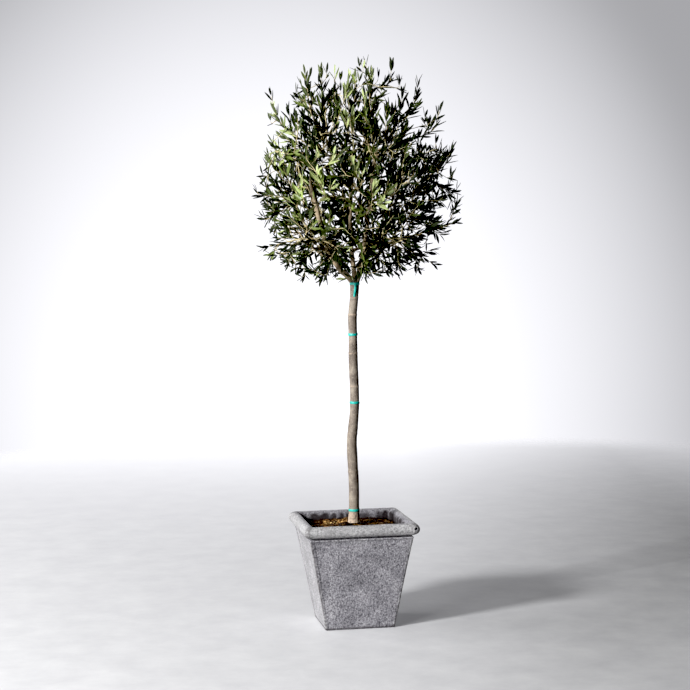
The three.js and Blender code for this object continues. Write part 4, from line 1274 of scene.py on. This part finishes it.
# Height of the soil over a place: a root ball with a rise round the trunk, which falls off steeply at its
# edge to the dark crevice along the planter's wall, with lumps
def soilHeight(x, y):
    edge = 1 / (1 + np.exp((squareReach(x, y) - soil["ball"]) / 1.6))
    domeHeight, domeReach = soil["dome"]
    dome = domeHeight * np.exp(-(np.hypot(x, y) / domeReach) ** 2)
    place = np.stack([x, y, np.zeros_like(x)], axis=-1)
    return addLumps(soil["fill"] + (soil["top"] - soil["fill"] - 3 + dome) * edge, place, soil["lumps"], 90)


# Soil surface: rings round the trunk that change from circles to the planter's square as they widen
def soilMesh():
    square, direction = squareRing()
    widening = (pot["bodyTop"] - pot["base"]) / 2 / pot["bodyTopHeight"]
    innerHalf = pot["base"] / 2 + widening * soil["fill"] - pot["wall"]
    outline = square * (innerHalf - 6) + direction * 4.4
    circle = unit(outline) * 150
    shares = np.linspace(0.06, 1, 44)[::-1, None, None]
    flat = circle * np.minimum(shares / 0.8, 1) + (outline - circle) * fadeIn(shares, 0.8, 0.2)
    surface = np.concatenate([flat, soilHeight(flat[..., :1], flat[..., 1:])], axis=-1)
    side = np.concatenate([flat[0] * 0.93, np.full((len(outline), 1), soil["under"])], axis=-1)[None]
    ends = np.array([[0, 0, soil["under"]], [0, 0, soilHeight(np.zeros(1), np.zeros(1))[0]]])
    return closedRows(np.concatenate([side, surface]), ends)


# Chips: six-sided wedges with random sizes, turned at random but mostly lying flat on the soil
def chipMesh():
    dice = np.random.default_rng(soil["seed"])
    x, y = dice.uniform(-154, 154, (2, soil["chips"]))
    free = (np.hypot(x - 2, y) > 20) & (squareReach(x, y) < soil["ball"] - 5)
    x, y = x[free], y[free]
    count = len(x)
    length = dice.uniform(*soil["chipLength"], count) * dice.uniform(0.6, 1.1, count)
    width = length * dice.uniform(0.25, 0.6, count)
    thick = dice.uniform(*soil["chipThick"], count)
    corners = np.array([[-1, -1, -1], [1, -0.7, -1], [0.8, 1, -1], [-1, 0.8, -1],
                        [-0.8, -0.8, 1], [0.9, -0.6, 1], [0.7, 0.8, 1], [-0.9, 0.6, 1]]) / 2
    local = corners[None] * np.stack([length, width, thick], axis=1)[:, None, :]
    local += dice.normal(0, 0.25, local.shape)
    yaw = dice.uniform(0, 2 * math.pi, count)
    way = unit(np.stack([np.cos(yaw), np.sin(yaw), dice.normal(0, 0.35, count)], axis=1))
    side = unit(np.cross(np.tile(skyward, (count, 1)) + dice.normal(0, 0.3, (count, 3)), way))
    face = np.cross(way, side)
    height = soilHeight(x, y) + dice.uniform(-0.2, 1.8, count)
    middle = np.stack([x, y, height], axis=1)
    points = (middle[:, None, :] + local[..., :1] * way[:, None, :] + local[..., 1:2] * side[:, None, :]
              + local[..., 2:] * face[:, None, :])
    quads = np.array([[0, 3, 2, 1], [4, 5, 6, 7], [0, 1, 5, 4], [1, 2, 6, 5], [2, 3, 7, 6], [3, 0, 4, 7]])
    shift = np.arange(count)[:, None, None] * 8
    dryX, dryY, dryReach = soil["dry"]
    dry = 0.35 + 1.3 * np.exp(-((x - dryX) ** 2 + (y - dryY) ** 2) / dryReach ** 2)
    slots = np.repeat(np.digitize(dice.uniform(0, 1, count) * dry, (0.5, 0.8, 1.05)), 6)
    return points.reshape(-1, 3), (quads[None] + shift).reshape(-1, 4), slots


# Fibres: thin strands that lie in shallow arcs across the chips
def fibreMesh():
    dice = np.random.default_rng(soil["seed"] + 1)
    count = soil["fibres"]
    spread = np.sqrt(dice.uniform(0.04, 1, count)) * (soil["ball"] - 14)
    angle = dice.uniform(0, 2 * math.pi, count)
    centre = np.stack([spread * np.cos(angle), spread * np.sin(angle)], axis=1)
    yaw = dice.uniform(0, 2 * math.pi, count)
    reach = dice.uniform(*soil["fibreReach"], count)
    t = np.linspace(-1, 1, 6)
    bend = dice.normal(0, 3, count)
    along = t[None, :] * reach[:, None]
    aside = (1 - t[None, :] ** 2) * bend[:, None]
    x = centre[:, :1] + along * np.cos(yaw)[:, None] - aside * np.sin(yaw)[:, None]
    y = centre[:, 1:] + along * np.sin(yaw)[:, None] + aside * np.cos(yaw)[:, None]
    z = soilHeight(x, y) + 1.4 + (1 - t[None, :] ** 2) * dice.uniform(0, 4, count)[:, None]
    return tubes(np.stack([x, y, z], axis=-1), np.full(x.shape, soil["fibreRadius"]), 4)


mixDark = mixMaterial("potting_mix", "#080403", "#1a0f08", 0.95)
chipMaterials = [mixMaterial(*look) for look in (
    ("bark_chip_dark", "#140c07", "#2c1c12", 0.85),
    ("bark_chip_brown", "#3f2614", "#6a462a", 0.85),
    ("bark_chip_tan", "#7f5c38", "#a8804f", 0.8),
    ("bark_chip_straw", "#b58d4c", "#e6c98c", 0.75),
)]
points, quads, triangles = soilMesh()
soilPiece = makePiece("soil_surface", points * mm, quads, triangles, [mixDark])
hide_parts("soil")
points, quads, slots = chipMesh()
chipPiece = makePiece("bark_chips", points * mm, quads, [], chipMaterials, slots, smooth=False)
points, quads, triangles = fibreMesh()
fibrePiece = makePiece("coconut_fibres", points * mm, quads, triangles, [chipMaterials[2]])
for piece in (soilPiece, chipPiece, fibrePiece):
    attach(piece, "root")
print("soil made")


# Ties

ties = {
    "heights": {"tie_foot": 418, "tie_low": 815, "tie_high": 1065, "tie_fork": 1250},
    "height": 10.0,
    "thick": 1.3,
    "around": 56,
    "section": 12,            # points round the band's section
    "tail": {"top": 1253, "length": 50, "half": 4.3, "flat": 0.16, "rows": 26, "section": 10},
}


# Plant tie: soft stretchy vinyl tape, turquoise, with a satin skin and creases of 8 mm
def tapeMaterial():
    material, nodes, shader, place = startMaterial("vinyl_tape", 0.42, 1.53)
    folds = addNode(nodes, "TexNoise", {"Scale": 120, "Detail": 2}, {"Vector": place})
    colour = addNode(nodes, "ValToRGB", None, {0: folds.outputs["Fac"]},
                     stops=[(0.3, "#0d8d84"), (0.7, "#35aca0")])
    nodes.links.new(colour.outputs[0], shader.inputs["Base Color"])
    bump = addNode(nodes, "Bump", {"Strength": 0.3, "Distance": 0.001}, {"Height": folds.outputs["Fac"]})
    nodes.links.new(bump.outputs[0], shader.inputs["Normal"])
    return material


# Tie: a flat band round the trunk. Its section is a rounded bar, its height and tilt change slowly with the
# angle, and it bunches up at the back where it is knotted.
def tieMesh(height, seed):
    around, section = ties["around"], ties["section"]
    angles = np.arange(around) * 2 * math.pi / around
    circle = np.stack([np.cos(angles), np.sin(angles), np.zeros(around)], axis=1)
    wave = smoothNoise(circle * 1.7 + seed * 5.3, 110 + seed)
    bunch = np.exp(-((np.angle(np.exp(1j * (angles - math.pi / 2))) / 0.4) ** 2))
    half = (ties["height"] / 2 - 0.6) * (1 + 0.12 * wave) * (1 - 0.25 * bunch)
    lift = height + 1.2 * smoothNoise(circle * 1.1 + seed * 2.9, 120 + seed)
    radius = trunkRadius(height) + 0.4 + ties["thick"] / 2 + 1.6 * bunch
    turn = np.arange(section) * 2 * math.pi / section
    squared = 1 / (np.abs(np.cos(turn)) ** 4 + np.abs(np.sin(turn)) ** 4) ** 0.25
    out = (ties["thick"] / 2 * np.cos(turn) * squared)[None, :] * (1 + bunch[:, None]) + radius[:, None]
    rise = half[:, None] * (np.sin(turn) * squared)[None, :] + lift[:, None]
    crease = 0.25 * np.sin(rise * 2.1 + 3 * wave[:, None])
    out = out + crease * (np.cos(turn) > 0.1)[None, :]
    x = trunkMiddle(height) + out * np.cos(angles)[:, None]
    points = np.stack([x, out * np.sin(angles)[:, None], rise], axis=-1)
    quads = bandFaces(around + 1, section) % (around * section)     # the last row is the first one again
    return points.reshape(-1, 3), quads[:, ::-1], np.zeros((0, 3), dtype=int)


# Tail: a ribbon that hangs down the front of the trunk, flat ovals along a gently waving line
def tailMesh():
    tail = ties["tail"]
    t = np.linspace(0, 1, tail["rows"])
    height = tail["top"] - tail["length"] * t
    half = tail["half"] * (1 - 0.25 * t) * np.where(t > 0.93, (1 - t) / 0.07 * 0.6 + 0.4, 1)
    x = trunkMiddle(height) + 1.5 + 1.2 * np.sin(t * 5)
    y = -trunkRadius(height) - 1.3 - 0.8 * np.sin(t * 3.1)
    turn = np.arange(tail["section"]) * 2 * math.pi / tail["section"]
    across, deep = half[:, None] * np.cos(turn), half[:, None] * tail["flat"] * np.sin(turn)
    points = np.stack([x[:, None] + across, y[:, None] - deep, np.repeat(height[:, None], len(turn), axis=1)],
                      axis=-1)
    return closedRows(points, np.array([[x[0], y[0], height[0]], [x[-1], y[-1], height[-1] - 0.5]]))


tape = tapeMaterial()
for k, (tieName, tieHeight) in enumerate(ties["heights"].items()):
    parts = [tieMesh(tieHeight, k)]
    if tieName == "tie_fork":
        parts.append(tailMesh())
    points, quads, triangles = joinedParts(parts)
    tiePiece = makePiece(tieName + "_tape", placed(points), quads, triangles, [tape])
    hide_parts(tieName)
    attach(tiePiece, "root")
print("ties made")


# Studio

studio = {
    "lens": 1922 / 690 * 36,
    "distance": 7.0142,
    "eye": 1.5244,
    "pitch": 4.0638, "pan": -0.1683, "roll": -0.7610,
    "aim": (0.0, 0.0, 0.9),   # where the lights point
    # of each light: angle from the left towards the front, angle above the floor, size and distance in m,
    # and watts
    "lights": {"key": (44, 17.5, 1.1, 7.0, 1000), "soft": (60, 17.5, 1.8, 7.0, 240),
               "left": (-5, 21, 3.0, 4.2, 110), "back": (249, 24, 3.0, 5.0, 270)},
    "floor": 5.9,             # m, radius
    "behind": 0.2,            # light from the white wall behind
    "front": 0.008,           # light from everywhere else
    "black": 0.021,           # light that still shows as black
}


# Turned with the tree, as the camera looks straight at the tree's front
def fromTreeFrame(vector):
    turn = math.radians(tree["turn"])
    x, y, z = vector
    return np.array([x * math.cos(turn) - y * math.sin(turn), x * math.sin(turn) + y * math.cos(turn), z])

# Puts a camera or light in the scene, with the ways of its own x, y and z axes and its place
def standAt(item, axes, place):
    matrix = np.eye(4)
    matrix[:3, :3] = np.transpose(axes)
    matrix[:3, 3] = place
    item.matrix_world = Matrix(matrix.tolist())
    bpy.context.scene.collection.objects.link(item)


def addCamera():
    pitch, pan, roll = [math.radians(studio[name]) for name in ("pitch", "pan", "roll")]
    forward = np.array([math.sin(pan) * math.cos(pitch), math.cos(pan) * math.cos(pitch), -math.sin(pitch)])
    level = np.array([math.cos(pan), -math.sin(pan), 0])
    above = np.cross(level, forward)
    right = level * math.cos(roll) + above * math.sin(roll)
    up = above * math.cos(roll) - level * math.sin(roll)
    camera = bpy.data.objects.new("camera", bpy.data.cameras.new("camera"))
    camera.data.lens = studio["lens"]
    camera.data.sensor_width = 36
    axes = [fromTreeFrame(axis) for axis in (right, up, -forward)]
    standAt(camera, axes, fromTreeFrame((0, -studio["distance"], studio["eye"])))
    bpy.context.scene.camera = camera


def addAreaLight(name, place, aim, size, watts):
    light = bpy.data.objects.new(name, bpy.data.lights.new(name, "AREA"))
    light.data.energy = watts
    light.data.size = size
    light.visible_camera = False
    back = unit(place - aim)
    side = unit(np.cross(skyward, back))
    standAt(light, (side, np.cross(back, side), back), place)
    return light


# How far a place or a way goes along named axes of the tree's frame
def alongAxes(nodes, place, axes):
    return {name: addNode(nodes, "VectorMath", {1: tuple(fromTreeFrame(axis))}, {0: place},
                          operation="DOT_PRODUCT").outputs["Value"] for name, axis in axes.items()}


# Floor: a round of pale, slightly worn studio flooring, rings of points round the plant, which glows with
# painted light that only the camera sees. What it throws back at the plant is darker near the planter than
# what the camera sees.
def addFloor():
    material, nodes, shader, place = startMaterial("studio_floor", 0.5)
    clouds = addNode(nodes, "TexNoise", {"Scale": 5.5, "Detail": 6, "Roughness": 0.7}, {"Vector": place})
    colour = addNode(nodes, "ValToRGB", None, {0: clouds.outputs["Fac"]},
                     stops=[(0.3, "#afafb1"), (0.7, "#bfbfc0")])
    seen = addNode(nodes, "LightPath").outputs["Is Camera Ray"]
    far = addNode(nodes, "VectorMath", None, {0: place}, operation="LENGTH").outputs["Value"]
    near = addNode(nodes, "MapRange", {1: 0.5, 2: 1.3, 3: 1.0, 4: 0.0}, {0: far})
    thrown = addNode(nodes, "Mix", {6: linearColour("#2a2a2b"), 7: linearColour("#d0d0d1")},
                     {0: near.outputs[0]}, data_type="RGBA")
    mixed = addNode(nodes, "Mix", None, {0: seen, 6: thrown.outputs[2], 7: colour.outputs[0]},
                    data_type="RGBA")
    nodes.links.new(mixed.outputs[2], shader.inputs["Base Color"])
    # painted light: the floor glows, for the camera only, with the wall's light on it: 0.19 + 0.085 back +
    # 0.0145 back squared, in metres, and less to the right by 0.05 to 0.31 times (1 + 0.1 back)
    ways = alongAxes(nodes, place, {"right": (1, 0, 0), "back": (0, 1, 0)})
    spill = addNode(nodes, "Math", {1: 0.0145, 2: 0.085}, {0: ways["back"]}, operation="MULTIPLY_ADD")
    spill = addNode(nodes, "Math", {2: 0.19}, {0: spill.outputs[0], 1: ways["back"]},
                    operation="MULTIPLY_ADD")
    less = addNode(nodes, "MapRange", {1: 0.3, 2: 1.6, 3: 0.05, 4: 0.31}, {0: ways["right"]})
    further = addNode(nodes, "Math", {1: 0.1, 2: 1.0}, {0: ways["back"]}, operation="MULTIPLY_ADD")
    less = addNode(nodes, "Math", None, {0: less.outputs[0], 1: further.outputs[0]}, operation="MULTIPLY")
    spill = addNode(nodes, "Math", None, {0: spill.outputs[0], 1: less.outputs[0]}, operation="SUBTRACT")
    spill = addNode(nodes, "Math", {1: 0.0}, {0: spill.outputs[0]}, operation="MAXIMUM")
    spill = addNode(nodes, "Math", None, {0: spill.outputs[0], 1: seen}, operation="MULTIPLY")
    shader.inputs["Emission Color"].default_value = linearColour("#fafaff")
    nodes.links.new(spill.outputs[0], shader.inputs["Emission Strength"])
    fade = addNode(nodes, "MapRange", {1: 5.1, 2: 5.85, 3: 1.0, 4: 0.0}, {0: far},
                   interpolation_type="SMOOTHSTEP")
    nodes.links.new(fade.outputs[0], shader.inputs["Alpha"])
    radii, around = np.array([0.5, 1.5, 3.5, studio["floor"]]), 96
    angles = np.arange(around) * 2 * math.pi / around
    circle = np.stack([np.cos(angles), np.sin(angles), np.zeros(around)], axis=1)
    points = np.concatenate([(radii[:, None, None] * circle).reshape(-1, 3), [[0, 0, 0]]])
    here = np.arange(around)
    fan = np.stack([here, (here + 1) % around, np.full(around, len(points) - 1)], axis=1)
    quads = bandFaces(len(radii), around)[:, ::-1]
    makePiece("studio_floor", points, quads, fan, [material])


# World: behind the floor the camera sees a white wall that falls off with the square of the distance from its
# middle; the plant is lit by that wall's brightness from behind, and by little from in front
def addWorld():
    world = bpy.data.worlds.new("studio")
    bpy.context.scene.world = world
    world.use_nodes = True
    nodes = world.node_tree
    way = addNode(nodes, "TexCoord").outputs["Generated"]
    ways = alongAxes(nodes, way, {"right": (1, 0, 0), "back": (-0.37, 0.93, 0), "up": (0, 0, 1)})
    aside = addNode(nodes, "Math", {1: 0.036}, {0: ways["right"]}, operation="ADD").outputs[0]
    above = addNode(nodes, "MapRange", {1: -0.1, 2: 0.4, 3: 0.0, 4: 0.42}, {0: ways["up"]}).outputs[0]
    asideSquare = addNode(nodes, "Math", None, {0: aside, 1: aside}, operation="MULTIPLY")
    spread = addNode(nodes, "Math", None, {0: above, 1: above, 2: asideSquare.outputs[0]},
                     operation="MULTIPLY_ADD")
    seen = addNode(nodes, "Math", {1: -14.6, 2: 1.276}, {0: spread.outputs[0]}, operation="MULTIPLY_ADD")
    seen = addNode(nodes, "Math", {1: 0.42, 2: 0.15}, {0: seen.outputs[0]}, operation="SMOOTH_MAX")
    lit = addNode(nodes, "MapRange", {1: 0.5, 2: 0.95, 3: studio["front"], 4: studio["behind"]},
                  {0: ways["back"]}, interpolation_type="SMOOTHSTEP")
    ray = addNode(nodes, "LightPath").outputs["Is Camera Ray"]
    strength = addNode(nodes, "Mix", None, {0: ray, 2: lit.outputs[0], 3: seen.outputs[0]})
    background = nodes.nodes["Background"]
    background.inputs["Color"].default_value = linearColour("#fafaff")
    nodes.links.new(strength.outputs[0], background.inputs["Strength"])


addCamera()
addFloor()
addWorld()
plantOnly = bpy.data.collections.new("plant_only")    # what the light at the back lights, without the floor
for piece in bpy.context.scene.collection.objects:
    if piece.type == "MESH" and piece.name != "studio_floor" and not piece.hide_render:
        plantOnly.objects.link(piece)
aim = np.array(studio["aim"])
for name, (angle, rise, size, far, watts) in studio["lights"].items():
    angle, rise = math.radians(angle), math.radians(rise)
    flat = math.cos(rise)
    way = fromTreeFrame((-math.cos(angle) * flat, -math.sin(angle) * flat, math.sin(rise)))
    light = addAreaLight(name, aim + way * far, aim, size, watts)
    if name == "back":
        light.light_linking.receiver_collection = plantOnly
view = bpy.context.scene.view_settings
view.view_transform = "Standard"
view.use_curve_mapping = True
view.curve_mapping.black_level = [studio["black"]] * 3
view.curve_mapping.update()
print("studio made")
